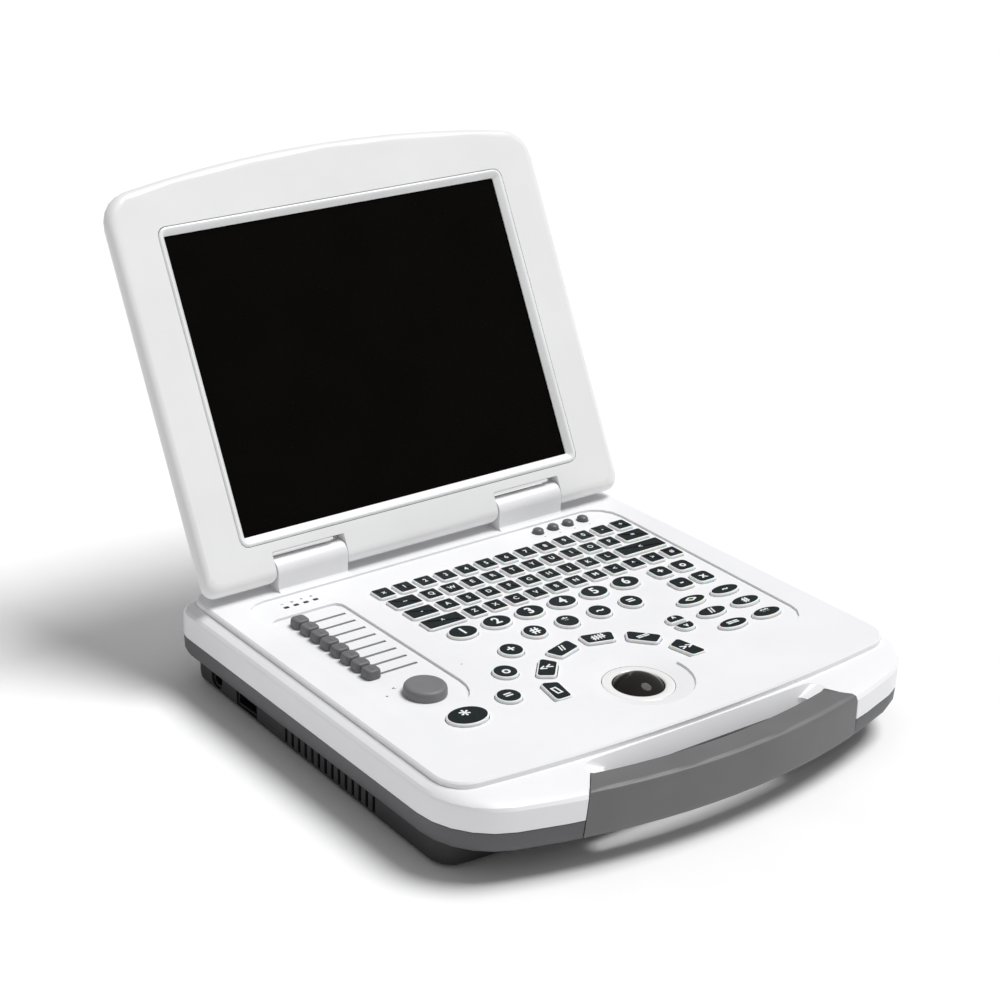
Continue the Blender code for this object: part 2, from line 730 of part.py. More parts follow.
def key_openings():
    """Cutters through the cover: one opening for each key, slider, lamp and knob."""
    bottom = DISH_SKIN_BOTTOM - MM
    cutters = [prism("opening", grown(line, KEY_HOLE_GAP), bottom, MM) for line in all_keys()]
    for x, y in slider_places():
        low = (x - STEM_LENGTH / 2 - GAP, y - SLOT_WIDTH / 2, bottom)
        high = (x + STEM_LENGTH / 2 + GAP + SLIDER_TRAVEL, y + SLOT_WIDTH / 2, MM)
        cutters.append(block("slot", low, high))
    lamp = round_rectangle(LAMP_SIZE[0] + 2 * GAP, LAMP_SIZE[1] + 2 * GAP, (0.4 * MM,) * 4, steps=1)
    for place in lamp_places():
        cutters.append(prism("lamp_opening", moved(lamp, place), bottom, MM))
    stem = ellipse(2 * GAIN_STEM_RADIUS + MM, 2 * GAIN_STEM_RADIUS + MM)
    cutters.append(prism("stem_opening", moved(stem, (RECESS_X, GAIN_Y)), bottom, MM))
    return cutters


def build_top_cover():
    """Upper shell with its hinge knuckles, scoop, recesses and openings."""
    cover = cover_shell()
    unite(cover, [knuckle(-1), knuckle(1)])
    rear = round_rectangle(2 * SCOOP_HALF + 10 * MM, 22 * MM, (2 * MM,) * 4)
    ledge = moved(rear, (0, SCOOP_REAR + 2.5 * MM - 11 * MM))
    skin_top = COVER_INSIDE + OVERLAP
    unite(cover, [
        prism("ledge", ledge, SCOOP_BOTTOM, -5.5 * MM),
        prism("recess_skin", recess_outline(2 * MM), RECESS_FLOOR - RECESS_SKIN, skin_top)])
    rim = dish_radius()
    unite(cover, [turned("dish_skin", (0, BALL_Y), ((rim + MM, DISH_SKIN_BOTTOM), (rim + MM, skin_top)))])
    cut(cover, [handle_cutter(COVER_SPLIT - MM, MM)])
    cut(cover, [scoop()])
    panel = round_rectangle(2 * PANEL_HALF, PANEL_REAR - PANEL_FRONT, (PANEL_CORNER,) * 4, steps=4)
    middle = (PANEL_REAR + PANEL_FRONT) / 2
    cut(cover, [prism("panel", moved(panel, (0, middle)), -PANEL_DEPTH, MM)])
    cut(cover, [prism("recess", recess_outline(), RECESS_FLOOR, MM)])
    cut(cover, [turned("dish", (0, BALL_Y), (
        (dish_inner(), DISH_SKIN_BOTTOM - MM), (dish_inner(), -DISH_DEPTH),
        (rim, -PANEL_DEPTH), (rim + MM, MM)), steps=32)])
    for side in (-1, 1):
        for cutter in knuckle_hollows(side):
            cut(cover, [cutter])
    return cut(cover, key_openings())


# ---------------------------------------------------------------- lower cover, base and handle

def build_lower_cover():
    """Grey band with an inward flange that closes onto the base, and the finger pocket."""
    rings = [flat_ring(body_outline(inset), z) for inset, z in (
        (0, COVER_SPLIT - GAP), (0.5 * MM, -26 * MM), (2.2 * MM, -29.6 * MM), (5 * MM, LOWER_BOTTOM))]
    cover = loft("lower_cover", rings, material("band_grey", "5b5b5e", 0.5))
    inner = body_outline(WALL)
    floor = LOWER_BOTTOM + LOWER_FLANGE
    cut(cover, [loft("hollow", [
        flat_ring(inner, COVER_SPLIT + MM), flat_ring(inner, -26 * MM),
        flat_ring(body_outline(2 * WALL), floor)])])
    cut(cover, [prism("flange_opening", base_outline(FLANGE_SEAT), LOWER_BOTTOM - MM, COVER_SPLIT)])
    half = FINGER_HALF + POCKET_WALL
    wall_top = SCOOP_BOTTOM - GAP
    front = BODY_FRONT + HANDLE_DEPTH + 4 * MM
    wall = block("wall", (-half, front, LOWER_BOTTOM), (half, FINGER_REAR + POCKET_WALL, wall_top))
    unite(cover, [wall])
    beyond = BODY_FRONT - MM
    cut(cover, [block("pocket", (-FINGER_HALF, beyond, LOWER_BOTTOM - MM), (FINGER_HALF, FINGER_REAR, 0))])
    return cut(cover, [handle_cutter(LOWER_BOTTOM - MM, 0)])


def build_base_tray():
    """Dark tray with vents, sockets' openings and a rounded bottom edge."""
    top = LOWER_BOTTOM - GAP
    rings = [flat_ring(base_outline(inset), z) for inset, z in (
        (2.2 * MM, BASE_BOTTOM), (0.8 * MM, BASE_BOTTOM + 1.2 * MM),
        (0.3 * MM, BASE_BOTTOM + 4 * MM), (0, top))]
    tray = loft("base_tray", rings, material("base_dark", "343436", 0.55))
    cut(tray, [prism("hollow", base_outline(WALL + MM), BASE_BOTTOM + BASE_FLOOR, top + MM)])
    far = BASE_FRONT_HALF + 10 * MM
    near = BASE_REAR_HALF - 12 * MM
    cutters = []
    low = top - 2 * MM - VENT_HEIGHT
    for index in range(VENT_COUNT):
        y = VENT_START - index * VENT_PITCH
        for start, end in ((-far, -near), (near, far)):
            if start > 0 and y > PROBE_SOCKET_Y - PROBE_SOCKET_SIZE[0] / 2 - 4 * MM:
                continue
            high = (end, y + VENT_WIDTH / 2, top - 2 * MM)
            cutters.append(block("vent", (start, y - VENT_WIDTH / 2, low), high))
    cutters.append(rod("inlet", POWER_INLET_RADIUS + GAP, -far, -near, (POWER_INLET_Y, POWER_INLET_Z)))
    for side, y, z, size in sockets():
        start, end = sorted((side * near, side * far))
        grow = GAP
        low = (start, y - size[0] / 2 - grow, z - size[1] / 2 - grow)
        cutters.append(block("socket", low, (end, y + size[0] / 2 + grow, z + size[1] / 2 + grow)))
    return cut(tray, cutters)


def sockets():
    """Side, y, z and size of each rectangular socket."""
    return (
        (-1, DATA_SOCKET_Y, DATA_SOCKET_Z, DATA_SOCKET_SIZE),
        (1, PROBE_SOCKET_Y, PROBE_SOCKET_Z, PROBE_SOCKET_SIZE))


def side_at(y):
    """Half width of the base's outer wall at a given y."""
    share = (BASE_REAR - y) / (BASE_REAR - BASE_FRONT)
    return BASE_REAR_HALF + (BASE_FRONT_HALF - BASE_REAR_HALF) * share


def build_sockets():
    """Metal-shelled data and probe sockets with a contact bar, and the round power inlet."""
    names = ("data_socket", "probe_socket")
    for name, (side, y, z, size) in zip(names, sockets()):
        face = side_at(y) - 1.6 * MM
        half_y, half_z = size[0] / 2, size[1] / 2
        low, high = sorted((side * face, side * (face - SOCKET_DEPTH)))
        finish = material(f"{name}_shell", "8d8f92", 0.35, 0.9)
        shell = block(name, (low, y - half_y, z - half_z), (high, y + half_y, z + half_z), finish)
        rim = MM
        mouth = side * (face + MM)
        low, high = sorted((mouth, side * (face - SOCKET_DEPTH + 2 * MM)))
        cut(shell, [block("mouth", (low, y - half_y + rim, z - half_z + rim),
                          (high, y + half_y - rim, z + half_z - rim))])
        tongue = 1.2 * MM
        low, high = sorted((side * (face - SOCKET_DEPTH + MM), side * (face - 3 * MM)))
        unite(shell, [block("tongue", (low, y - half_y + 3 * MM, z - tongue),
                            (high, y + half_y - 3 * MM, z + tongue))])
    face = -side_at(POWER_INLET_Y) + 1.6 * MM
    centre = (POWER_INLET_Y, POWER_INLET_Z)
    inlet = rod("power_inlet", POWER_INLET_RADIUS, face, face + SOCKET_DEPTH, centre,
                material("inlet_black", "161616", 0.45))
    cut(inlet, [rod("bore", POWER_INLET_RADIUS - 1.4 * MM, face - MM, face + SOCKET_DEPTH - 2 * MM, centre)])
    unite(inlet, [rod("pin", MM, face + 3 * MM, face + SOCKET_DEPTH - MM, centre, steps=10)])


def build_handle():
    """Bowed carrying handle with a soft top edge and two lugs that reach into the body."""
    rings = []
    for height, inset in (
            (LOWER_BOTTOM, 5 * MM), (-29.6 * MM, 2.2 * MM), (-26 * MM, 0.5 * MM),
            (COVER_SHOULDER, 0), (-5.6 * MM, 0.8 * MM), (HANDLE_TOP, 2.6 * MM)):
        front, rear = handle_outline(height)
        face = blended(front, rear[::-1], inset / HANDLE_DEPTH)
        rings.append(flat_ring(face + rear, height))
    handle = loft("carry_handle", rings, material("handle_grey", "6a6a6c", 0.5))
    rear_y = BODY_FRONT + HANDLE_DEPTH + 4 * MM
    lugs = []
    for side in (-1, 1):
        ends = sorted((side * (FINGER_HALF + POCKET_WALL + GAP + 0.5 * MM), side * HANDLE_REAR_HALF))
        low = (ends[0], rear_y, -26 * MM)
        lugs.append(block("lug", low, (ends[1], BASE_FRONT - 3 * MM, -15 * MM)))
    return unite(handle, lugs)


def build_feet():
    """Four round rubber feet."""
    rubber = material("foot_rubber", "1c1c1d", 0.8)
    places = {
        "foot_rear_left": (-FOOT_SPREAD_X, FOOT_REAR), "foot_rear_right": (FOOT_SPREAD_X, FOOT_REAR),
        "foot_front_left": (-FOOT_SPREAD_X, FOOT_FRONT), "foot_front_right": (FOOT_SPREAD_X, FOOT_FRONT)}
    bottom = BASE_BOTTOM - GAP - FOOT_HEIGHT
    for name, place in places.items():
        turned(name, place, (
            (FOOT_RADIUS - 0.6 * MM, bottom), (FOOT_RADIUS, bottom + 0.6 * MM),
            (FOOT_RADIUS, BASE_BOTTOM - GAP)), rubber)


# ---------------------------------------------------------------- controls

def mat(name, plate, outlines, finish):
    """Moulded key mat: a plate with a raised key for each outline."""
    body = prism(name, plate, MAT_BOTTOM, MAT_TOP, finish)
    keys = []
    for outline in outlines:
        keys.append(loft("key", [
            flat_ring(outline, MAT_TOP - OVERLAP), flat_ring(outline, KEY_TOP - KEY_BEVEL),
            flat_ring(grown(outline, -KEY_BEVEL), KEY_TOP)]))
    return unite(body, keys)


def extent(outlines, margin=0.0):
    """Low and high corner of the rectangle round a group of outlines."""
    xs = [x for outline in outlines for x, y in outline]
    ys = [y for outline in outlines for x, y in outline]
    return (min(xs) - margin, min(ys) - margin), (max(xs) + margin, max(ys) + margin)


def stepped_plate(upper, lower):
    """Plate under two groups of keys, each part as wide as its own group."""
    low, step = extent(lower, MAT_MARGIN)[0], extent(upper, MAT_MARGIN)[0]
    right, high = extent(lower, MAT_MARGIN)[1][0], extent(upper, MAT_MARGIN)[1]
    return [
        low, (right, low[1]), (right, step[1]), (high[0], step[1]), high,
        (step[0], high[1]), step, (low[0], step[1])]


def build_mats():
    """Letter, centre and side key mats."""
    silicone = material("key_black", "14191b", 0.5)
    low, high = extent(letter_keys(), MAT_MARGIN)
    mat("letter_mat", [low, (high[0], low[1]), high, (low[0], high[1])], letter_keys(), silicone)
    for name, (upper, lower) in (("centre_mat", centre_mat_keys()), ("side_mat", side_mat_keys())):
        mat(name, stepped_plate(upper, lower), upper + lower, silicone)


def build_single_keys():
    """Keys that are their own pieces: a cap with a flange that the cover holds down."""
    black = material("cap_black", "14191b", 0.45)
    grey = material("cap_grey", "55575a", 0.45)
    for name, outline in single_keys().items():
        wide = grown(outline, FLANGE_GROW)
        rings = [
            flat_ring(wide, FLANGE_TOP - FLANGE_THICKNESS), flat_ring(wide, FLANGE_TOP),
            flat_ring(outline, FLANGE_TOP)]
        if name.startswith("rear_button"):
            dome = ((0, 0), (0.5, 0.55), (1.4, 1))
            rings += [flat_ring(grown(outline, -inset * MM), REAR_BUTTON_TOP * rise) for inset, rise in dome]
            key = loft(name, rings, grey)
        else:
            rings.append(flat_ring(outline, KEY_TOP - KEY_BEVEL))
            rings.append(flat_ring(grown(outline, -KEY_BEVEL), KEY_TOP))
            key = loft(name, rings, black)
        low, high = extent([outline])
        pivot(key, ((low[0] + high[0]) / 2, (low[1] + high[1]) / 2, KEY_TOP))


def build_key_board():
    """Circuit board under all the keys, cut away round the trackball."""
    left, right = -66 * MM, PANEL_HALF
    front = ARC_CENTRE_Y + 2 * MM
    half = housing_size() / 2 + 3 * MM
    notch = BALL_Y + housing_size() / 2 + 2 * MM
    foot_left = FREEZE_PLACE[0] - FREEZE_SIZE[0] / 2 - 2 * MM
    foot_rear = FREEZE_PLACE[1] + FREEZE_SIZE[1] / 2 + MM
    outline = [
        (left, -2 * MM), (left, foot_rear), (foot_left, foot_rear), (foot_left, front), (-half, front),
        (-half, notch), (half, notch), (half, front), (right, front), (right, -2 * MM)]
    return prism("key_board", outline[::-1], BOARD_TOP - BOARD_THICKNESS, BOARD_TOP,
                 material("board_green", "1f4a33", 0.55))


def build_sliders():
    """Eight slider knobs and the board with their tracks."""
    grey = material("slider_grey", "666669", 0.5)
    floor = RECESS_FLOOR + 0.5 * MM
    stem_bottom = -6.5 * MM
    for index, (x, y) in enumerate(slider_places()):
        base = moved(round_rectangle(SLIDER_KNOB + 0.6 * MM, SLIDER_KNOB, (2.2 * MM,) * 4), (x, y))
        stem = (STEM_LENGTH / 2, STEM_WIDTH / 2)
        knob = loft(f"slider_knob_{index + 1}", [
            flat_ring(base, floor), flat_ring(grown(base, -0.3 * MM), SLIDER_KNOB_TOP - 0.7 * MM),
            flat_ring(grown(base, -1.1 * MM), SLIDER_KNOB_TOP)], grey)
        unite(knob, [block("stem", (x - stem[0], y - stem[1], stem_bottom), (x + stem[0], y + stem[1], 0))])
        pivot(knob, (x, y, floor))
    xs = [x for x, y in slider_places()]
    last = SLIDER_FIRST_Y - (SLIDER_COUNT - 1) * SLIDER_PITCH
    low = (min(xs) - 6 * MM, last - 5 * MM, -9.5 * MM)
    high = (max(xs) + SLIDER_TRAVEL + 6 * MM, SLIDER_FIRST_Y + 5 * MM, -8.2 * MM)
    board = block("slider_board", low, high, material("slider_board_green", "22503a", 0.55))
    tracks = []
    for x, y in slider_places():
        corner = (x - 4 * MM, y - 3 * MM, -8.2 * MM - OVERLAP)
        tracks.append(block("track", corner, (x + SLIDER_TRAVEL + 4 * MM, y + 3 * MM, stem_bottom - GAP)))
    return unite(board, tracks)


def build_gain_knob():
    """Low round knob on a stem, and the encoder that the stem turns in."""
    place = (RECESS_X, GAIN_Y)
    base = RECESS_FLOOR + 0.4 * MM
    stem_bottom = ENCODER_BOTTOM + 3 * MM
    knob = turned("gain_knob", place, (
        (GAIN_STEM_RADIUS, stem_bottom), (GAIN_STEM_RADIUS, base), (GAIN_RADIUS, base),
        (GAIN_RADIUS - 0.3 * MM, GAIN_TOP - 0.9 * MM), (GAIN_RADIUS - 1.4 * MM, GAIN_TOP)),
        material("knob_grey", "77777c", 0.5), steps=32)
    pivot(knob, (place[0], place[1], base))
    half = ENCODER_SIZE / 2
    encoder = block(
        "gain_encoder", (place[0] - half, place[1] - half, ENCODER_BOTTOM),
        (place[0] + half, place[1] + half, ENCODER_TOP), material("encoder_metal", "8a8c90", 0.4, 0.8))
    bore = GAIN_STEM_RADIUS + SHAFT_GAP
    cut(encoder, [turned("bore", place, ((bore, stem_bottom - GAP), (bore, 0)), steps=32)])


def build_trackball():
    """Ball, the ring that holds it in, and the cup that it rolls in."""
    place = (0, BALL_Y)
    bands = 12
    angles = [math.pi * (i + 0.4) / (bands + 0.8) for i in range(bands + 1)]
    profile = [(BALL_RADIUS * math.sin(a), BALL_CENTRE_Z - BALL_RADIUS * math.cos(a)) for a in angles]
    ball = turned("trackball", place, profile, material("ball_black", "211f1f", 0.12))
    pivot(ball, (0, BALL_Y, BALL_CENTRE_Z))
    outer = dish_inner() - GAP
    top = GAP - DISH_DEPTH
    turned("trackball_ring", place, (
        (outer, DISH_SKIN_BOTTOM), (outer, -DISH_DEPTH), (outer - 1.5 * MM, top),
        (ring_lip() + 1.3 * MM, top), (ring_lip(), RING_LIP_Z),
        (ball_radius_at(DISH_SKIN_BOTTOM) + BALL_CLEARANCE, DISH_SKIN_BOTTOM)),
        material("ring_white", "f4f4f2", 0.3), closed=True, steps=32)
    half = housing_size() / 2
    bottom = BALL_CENTRE_Z - BALL_RADIUS - HOUSING_FLOOR
    cup = block("trackball_cup", (-half, BALL_Y - half, bottom), (half, BALL_Y + half, HOUSING_TOP),
                material("cup_grey", "3c3d40", 0.55))
    room = BALL_RADIUS + BALL_CLEARANCE
    room_profile = [(room * math.sin(a), BALL_CENTRE_Z - room * math.cos(a)) for a in angles]
    return cut(cup, [turned("room", place, room_profile)])


def build_lamps():
    """One light guide with a window for each indicator lamp."""
    places = lamp_places()
    low = (places[0][0] - 4 * MM, LAMP_Y - 2.5 * MM, MAT_BOTTOM)
    guide = block("lamp_guide", low, (places[-1][0] + 4 * MM, LAMP_Y + 2.5 * MM, MAT_TOP),
                  material("lamp_clear", "c9d3cf", 0.25))
    window = round_rectangle(LAMP_SIZE[0], LAMP_SIZE[1], (0.4 * MM,) * 4, steps=1)
    top = -PANEL_DEPTH + 0.2 * MM
    return unite(guide, [prism("window", moved(window, place), MAT_TOP - OVERLAP, top) for place in places])


# ---------------------------------------------------------------- inside the base

def build_electronics():
    """Main board with its chips, and the battery pack."""
    low, high = MAIN_BOARD
    board = block("main_board", low, high, material("main_board_green", "1d4630", 0.55))
    chips = []
    for corner, far, height in CHIPS:
        start = (corner[0], corner[1], high[2] - OVERLAP)
        chips.append(block("chip", start, (far[0], far[1], high[2] + height)))
    unite(board, chips)
    pack = block("battery_pack", BATTERY[0], BATTERY[1], material("battery_wrap", "26303c", 0.6))
    bevel = pack.modifiers.new("edges", "BEVEL")
    bevel.width = 2 * MM
    bevel.segments = 1


def build_fan():
    """Flat cooling fan: a square frame and a bladed rotor."""
    half = FAN_SIZE / 2
    x, y = FAN_CENTRE
    top = FAN_BOTTOM + FAN_THICKNESS
    frame = block("fan_frame", (x - half, y - half, FAN_BOTTOM), (x + half, y + half, top),
                  material("fan_black", "1b1b1c", 0.6))
    floor = FAN_BOTTOM + 1.2 * MM
    cut(frame, [turned("bore", FAN_CENTRE, ((FAN_BORE, floor), (FAN_BORE, top + MM)))])
    inlet = FAN_BORE - 3 * MM
    cut(frame, [turned("inlet", FAN_CENTRE, ((inlet, FAN_BOTTOM - MM), (inlet, floor + MM)))])
    arm = 2 * MM
    spider = block("spider", (x - FAN_BORE, y - arm, FAN_BOTTOM), (x + FAN_BORE, y + arm, floor))
    unite(frame, [spider])
    bottom = floor + GAP
    rotor = turned("fan_rotor", FAN_CENTRE, ((FAN_HUB, bottom), (FAN_HUB, top - MM)),
                   material("rotor_black", "232325", 0.5))
    reach = FAN_BORE - 1.0 * MM
    blades = []
    for index in range(FAN_BLADES):
        turn = Matrix.Rotation(2 * math.pi * index / FAN_BLADES, 4, "Z")
        blade = slab_x("blade", [
            (-3 * MM, bottom + 0.5 * MM), (-2 * MM, bottom + 0.5 * MM), (3 * MM, top - 1.8 * MM),
            (2 * MM, top - 1.8 * MM)], FAN_HUB - MM, reach - 0.6 * MM)
        blade.data.transform(Matrix.Translation((x, y, 0)) @ turn)
        blades.append(blade)
    unite(rotor, blades)
    pivot(rotor, (x, y, bottom))


# ---------------------------------------------------------------- hinges

def build_hinge(side, label, lid):
    """Friction hinge: a bracket on the body and a shaft with an arm on the lid."""
    steel = material(f"hinge_steel_{label}", "9a9ca0", 0.35, 0.9)
    tube_radius = KNUCKLE_RADIUS - KNUCKLE_WALL - GAP
    inner = KNUCKLE_INNER_X + 3 * KNUCKLE_WALL + GAP
    outer = KNUCKLE_OUTER_X - KNUCKLE_WALL - GAP
    ends = sorted((side * inner, side * outer))
    centre = (HINGE_Y, HINGE_Z)
    bracket = rod(f"hinge_bracket_{label}", tube_radius, ends[0], ends[1], centre, steel)
    half = BRACKET_WEB / 2
    foot_top = COVER_INSIDE - GAP
    foot_bottom = foot_top - BRACKET_WEB
    unite(bracket, [slab_x("web", [
        (HINGE_Y - half, HINGE_Z), (HINGE_Y - half, foot_top), (HINGE_Y - half - BRACKET_FOOT, foot_top),
        (HINGE_Y - half - BRACKET_FOOT, foot_bottom), (HINGE_Y + half, foot_bottom),
        (HINGE_Y + half, HINGE_Z)],
        ends[0] + MM, ends[1] - MM)])
    far = sorted((side * (inner - 2 * MM), side * (outer + 2 * MM)))
    cut(bracket, [rod("bore", SHAFT_RADIUS + SHAFT_GAP, far[0], far[1], centre)])
    ends = sorted((side * SHAFT_INNER_X, side * ARM_X[1]))
    shaft = rod(f"hinge_shaft_{label}", SHAFT_RADIUS, ends[0], ends[1], (0, 0), steel)
    arm = sorted((side * ARM_X[0], side * ARM_X[1]))
    unite(shaft, [block("arm", (arm[0], -ARM_THICKNESS / 2, 0), (arm[1], ARM_THICKNESS / 2, ARM_TOP))])
    shaft.parent = lid


# ---------------------------------------------------------------- lid

def lid_ring(depth, inset, bottom):
    """Outline of the lid at a depth behind the hinge axis, as points in the lid's frame."""
    top = LID_TOP - inset
    outline = bowed_outline(
        LID_HALF - inset, LID_HALF - inset, top - bottom, LID_BOW - inset,
        LID_BOTTOM_CORNER, LID_TOP_CORNER - 0.5 * inset)
    return [(x, depth, bottom + w) for x, w in outline]


def barrel_bottom(depth):
    """Height of the round bottom edge at a depth from the hinge axis."""
    return -math.sqrt(max(BARREL_RADIUS ** 2 - depth ** 2, 0))


def notches():
    """Gaps in the lid's bottom edge where the body's knuckles stand."""
    left = KNUCKLE_INNER_X - NOTCH_CLEARANCE
    right = KNUCKLE_OUTER_X + NOTCH_CLEARANCE
    bottom = -BARREL_RADIUS
    flare = arc((left - NOTCH_ROUND, bottom + NOTCH_ROUND), NOTCH_ROUND, -math.pi / 2, 0, 3)
    profile = [(left - NOTCH_ROUND, bottom - 2 * MM)] + flare + [(left, NOTCH_TOP)]
    middle = (left + right) / 2
    profile += [(2 * middle - x, z) for x, z in reversed(profile)]
    tools = []
    for side in (-1, 1):
        outline = [(side * x, z) for x, z in profile]
        tools.append(slab_y("notch", outline, -BARREL_RADIUS - 2 * MM, LID_BACK + 2 * MM))
    return tools


def shaft_rooms():
    """Channels in the lid's halves for the hinge shafts and their arms."""
    tools = []
    half = ARM_THICKNESS / 2 + GAP
    for side in (-1, 1):
        ends = sorted((side * (KNUCKLE_OUTER_X - 2 * MM), side * (ARM_X[1] + GAP)))
        channel = rod("channel", SHAFT_RADIUS + GAP, ends[0], ends[1], (0, 0))
        ends = sorted((side * (ARM_X[0] - GAP), side * (ARM_X[1] + GAP)))
        low = (ends[0], -half, 0)
        high = (ends[1], half, LID_CAVITY_BOTTOM + 4 * MM)
        tools.append((channel, block("arm_room", low, high)))
    return tools


def screen_outline(share, corner, grow=0.0):
    """Rectangle in the lid's x and height, from the ring's inner edge (share 0) to its outer (1)."""
    width = SCREEN_WIDTH + share * (RING_LEFT + RING_RIGHT) + 2 * grow
    height = SCREEN_HEIGHT + share * (RING_BOTTOM + RING_TOP) + 2 * grow
    middle_x = SCREEN_X + share * (RING_RIGHT - RING_LEFT) / 2
    middle_z = SCREEN_BOTTOM + SCREEN_HEIGHT / 2 + share * (RING_TOP - RING_BOTTOM) / 2
    return moved(round_rectangle(width, height, (corner,) * 4, steps=3), (middle_x, middle_z))


def build_bezel(lid):
    """Front shell of the lid with the window and half of the barrel."""
    levels = (
        (-GAP / 2, 0), (-2.6 * MM, 0), (-4.9 * MM, 0.9 * MM), (-6.1 * MM, 2.3 * MM), (-BARREL_RADIUS, 4 * MM))
    rings = []
    for depth, inset in levels:
        rings.append(lid_ring(depth, inset, barrel_bottom(depth)))
    bezel = loft("lid_bezel", rings, material("bezel_white", "f3f3f1", 0.3))
    cut(bezel, [loft("hollow", [
        lid_ring(MM, WALL, LID_CAVITY_BOTTOM), lid_ring(-2.6 * MM, WALL, LID_CAVITY_BOTTOM),
        lid_ring(-4.4 * MM, 2 * WALL, LID_CAVITY_BOTTOM + MM)])])
    window = screen_outline(1, RING_CORNER, GAP)
    cut(bezel, [slab_y("window", window, -BARREL_RADIUS - MM, MM)])
    cut(bezel, notches())
    for channel, room in shaft_rooms():
        cut(bezel, [channel])
        cut(bezel, [room])
    bezel.parent = lid


def build_lid_cover(lid):
    """Rear shell of the lid, thinner at the hinge and crowned at the back."""
    levels = (
        (GAP / 2, 0.6 * MM, None), (3.3 * MM, 2.4 * MM, None),
        (5.7 * MM, 3.8 * MM, None), (6.9 * MM, 4.6 * MM, MM),
        (9.5 * MM, 6.8 * MM, 12 * MM), (12 * MM, 10.5 * MM, 26 * MM), (LID_BACK, 15 * MM, 40 * MM))
    rings = []
    for depth, inset, bottom in levels:
        rings.append(lid_ring(depth, inset, barrel_bottom(depth) if bottom is None else bottom))
    cover = loft("lid_cover", rings, material("lid_white", "efefed", 0.32))
    cut(cover, [loft("hollow", [
        lid_ring(-MM, 2 * WALL, LID_CAVITY_BOTTOM), lid_ring(5 * MM, 2.8 * WALL, LID_CAVITY_BOTTOM + MM),
        lid_ring(9 * MM, 4.2 * WALL, 22 * MM), lid_ring(LID_BACK - WALL, 6.5 * WALL, 42 * MM)])])
    cut(cover, notches())
    for channel, room in shaft_rooms():
        cut(cover, [channel])
        cut(cover, [room])
    cover.parent = lid


def build_screen(lid):
    """Bevelled ring, glass and the panel behind it."""
    face = -BARREL_RADIUS
    glass_front = face + GLASS_DEPTH
    profile = (
        (1, glass_front - GAP), (1, face + 0.1 * MM), (0.8, face - 0.4 * MM),
        (0.55, face - 0.2 * MM), (0, glass_front - 0.9 * MM), (0, glass_front - GAP))
    rings = []
    for share, depth in profile:
        outline = screen_outline(share, 0.6 * MM + share * (RING_CORNER - 0.6 * MM))
        rings.append([(x, depth, z) for x, z in outline])
    ring = loft("screen_ring", rings, material("screen_ring_white", "f6f6f5", 0.28), closed=True)
    ring.parent = lid
    half_x = SCREEN_WIDTH / 2 + GLASS_MARGIN
    low_z = SCREEN_BOTTOM - GLASS_MARGIN
    high_z = SCREEN_BOTTOM + SCREEN_HEIGHT + GLASS_MARGIN
    back = glass_front + GLASS_THICKNESS
    glass = block("screen_glass", (SCREEN_X - half_x, glass_front, low_z), (SCREEN_X + half_x, back, high_z),
                  material("glass_black", "050505", 0.08))
    glass.parent = lid
    half_x = SCREEN_WIDTH / 2 + PANEL_BORDER
    front = back + GAP
    panel = block(
        "lcd_panel", (SCREEN_X - half_x, front, SCREEN_BOTTOM - PANEL_BORDER),
        (SCREEN_X + half_x, front + LCD_THICKNESS, SCREEN_BOTTOM + SCREEN_HEIGHT + PANEL_BORDER),
        material("panel_metal", "7c7e82", 0.4, 0.8))
    panel.parent = lid


def build_lid():
    """Lid frame on the hinge axis, leaning back, with everything that turns with it."""
    lid = bpy.data.objects.new("lid_axis", None)
    bpy.context.scene.collection.objects.link(lid)
    lid.location = (0, HINGE_Y, HINGE_Z)
    lid.rotation_euler = (-LID_TILT, 0, 0)
    build_bezel(lid)
    build_lid_cover(lid)
    build_screen(lid)
    build_hinge(-1, "left", lid)
    build_hinge(1, "right", lid)


# ---------------------------------------------------------------- whole scanner

def settle():
    """Hang everything on one empty, with the foot print's middle at the world's origin."""
    bpy.context.view_layer.update()
    pieces = [item for item in bpy.data.objects if item.type == "MESH"]
    points = [item.matrix_world @ vertex.co for item in pieces for vertex in item.data.vertices]
    low = [min(point[axis] for point in points) for axis in range(3)]
    high = [max(point[axis] for point in points) for axis in range(3)]
    root = bpy.data.objects.new("scanner", None)
    bpy.context.scene.collection.objects.link(root)
    for item in list(bpy.data.objects):
        if item is not root and item.parent is None:
            item.parent = root
    root.location = (-(low[0] + high[0]) / 2, -(low[1] + high[1]) / 2, -low[2])
    bpy.context.view_layer.update()


def smooth():
    """Shade gentle bends smooth and keep real edges sharp."""
    for item in bpy.data.objects:
        if item.type == "MESH":
            item.data.shade_smooth()
            item.data.set_sharp_from_angle(angle=math.radians(32))


def main():
    """Build the scanner in an empty scene."""
    for item in list(bpy.data.objects):
        bpy.data.objects.remove(item)
    build_top_cover()
    build_lower_cover()
    build_base_tray()
    build_handle()
    build_feet()
    build_mats()
    build_single_keys()
    build_key_board()
    build_sliders()
    build_gain_knob()
    build_trackball()
    build_lamps()
    build_electronics()
    build_sockets()
    build_fan()
    build_lid()
    smooth()
    settle()


main()
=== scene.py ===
"""Looks of a portable ultrasound scanner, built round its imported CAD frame.

Every place is given in the deck frame, in metres: x = 0 is the middle of the body, y = 0 is the
line where the open screen meets the deck, and z = 0 is the raised deck. The frame's own nodes say
where that origin is.
"""
from __future__ import annotations

import logging
import math
from contextlib import contextmanager
from dataclasses import dataclass
from enum import Enum
from typing import Iterator, Sequence

import bpy
from mathutils import Matrix, Vector


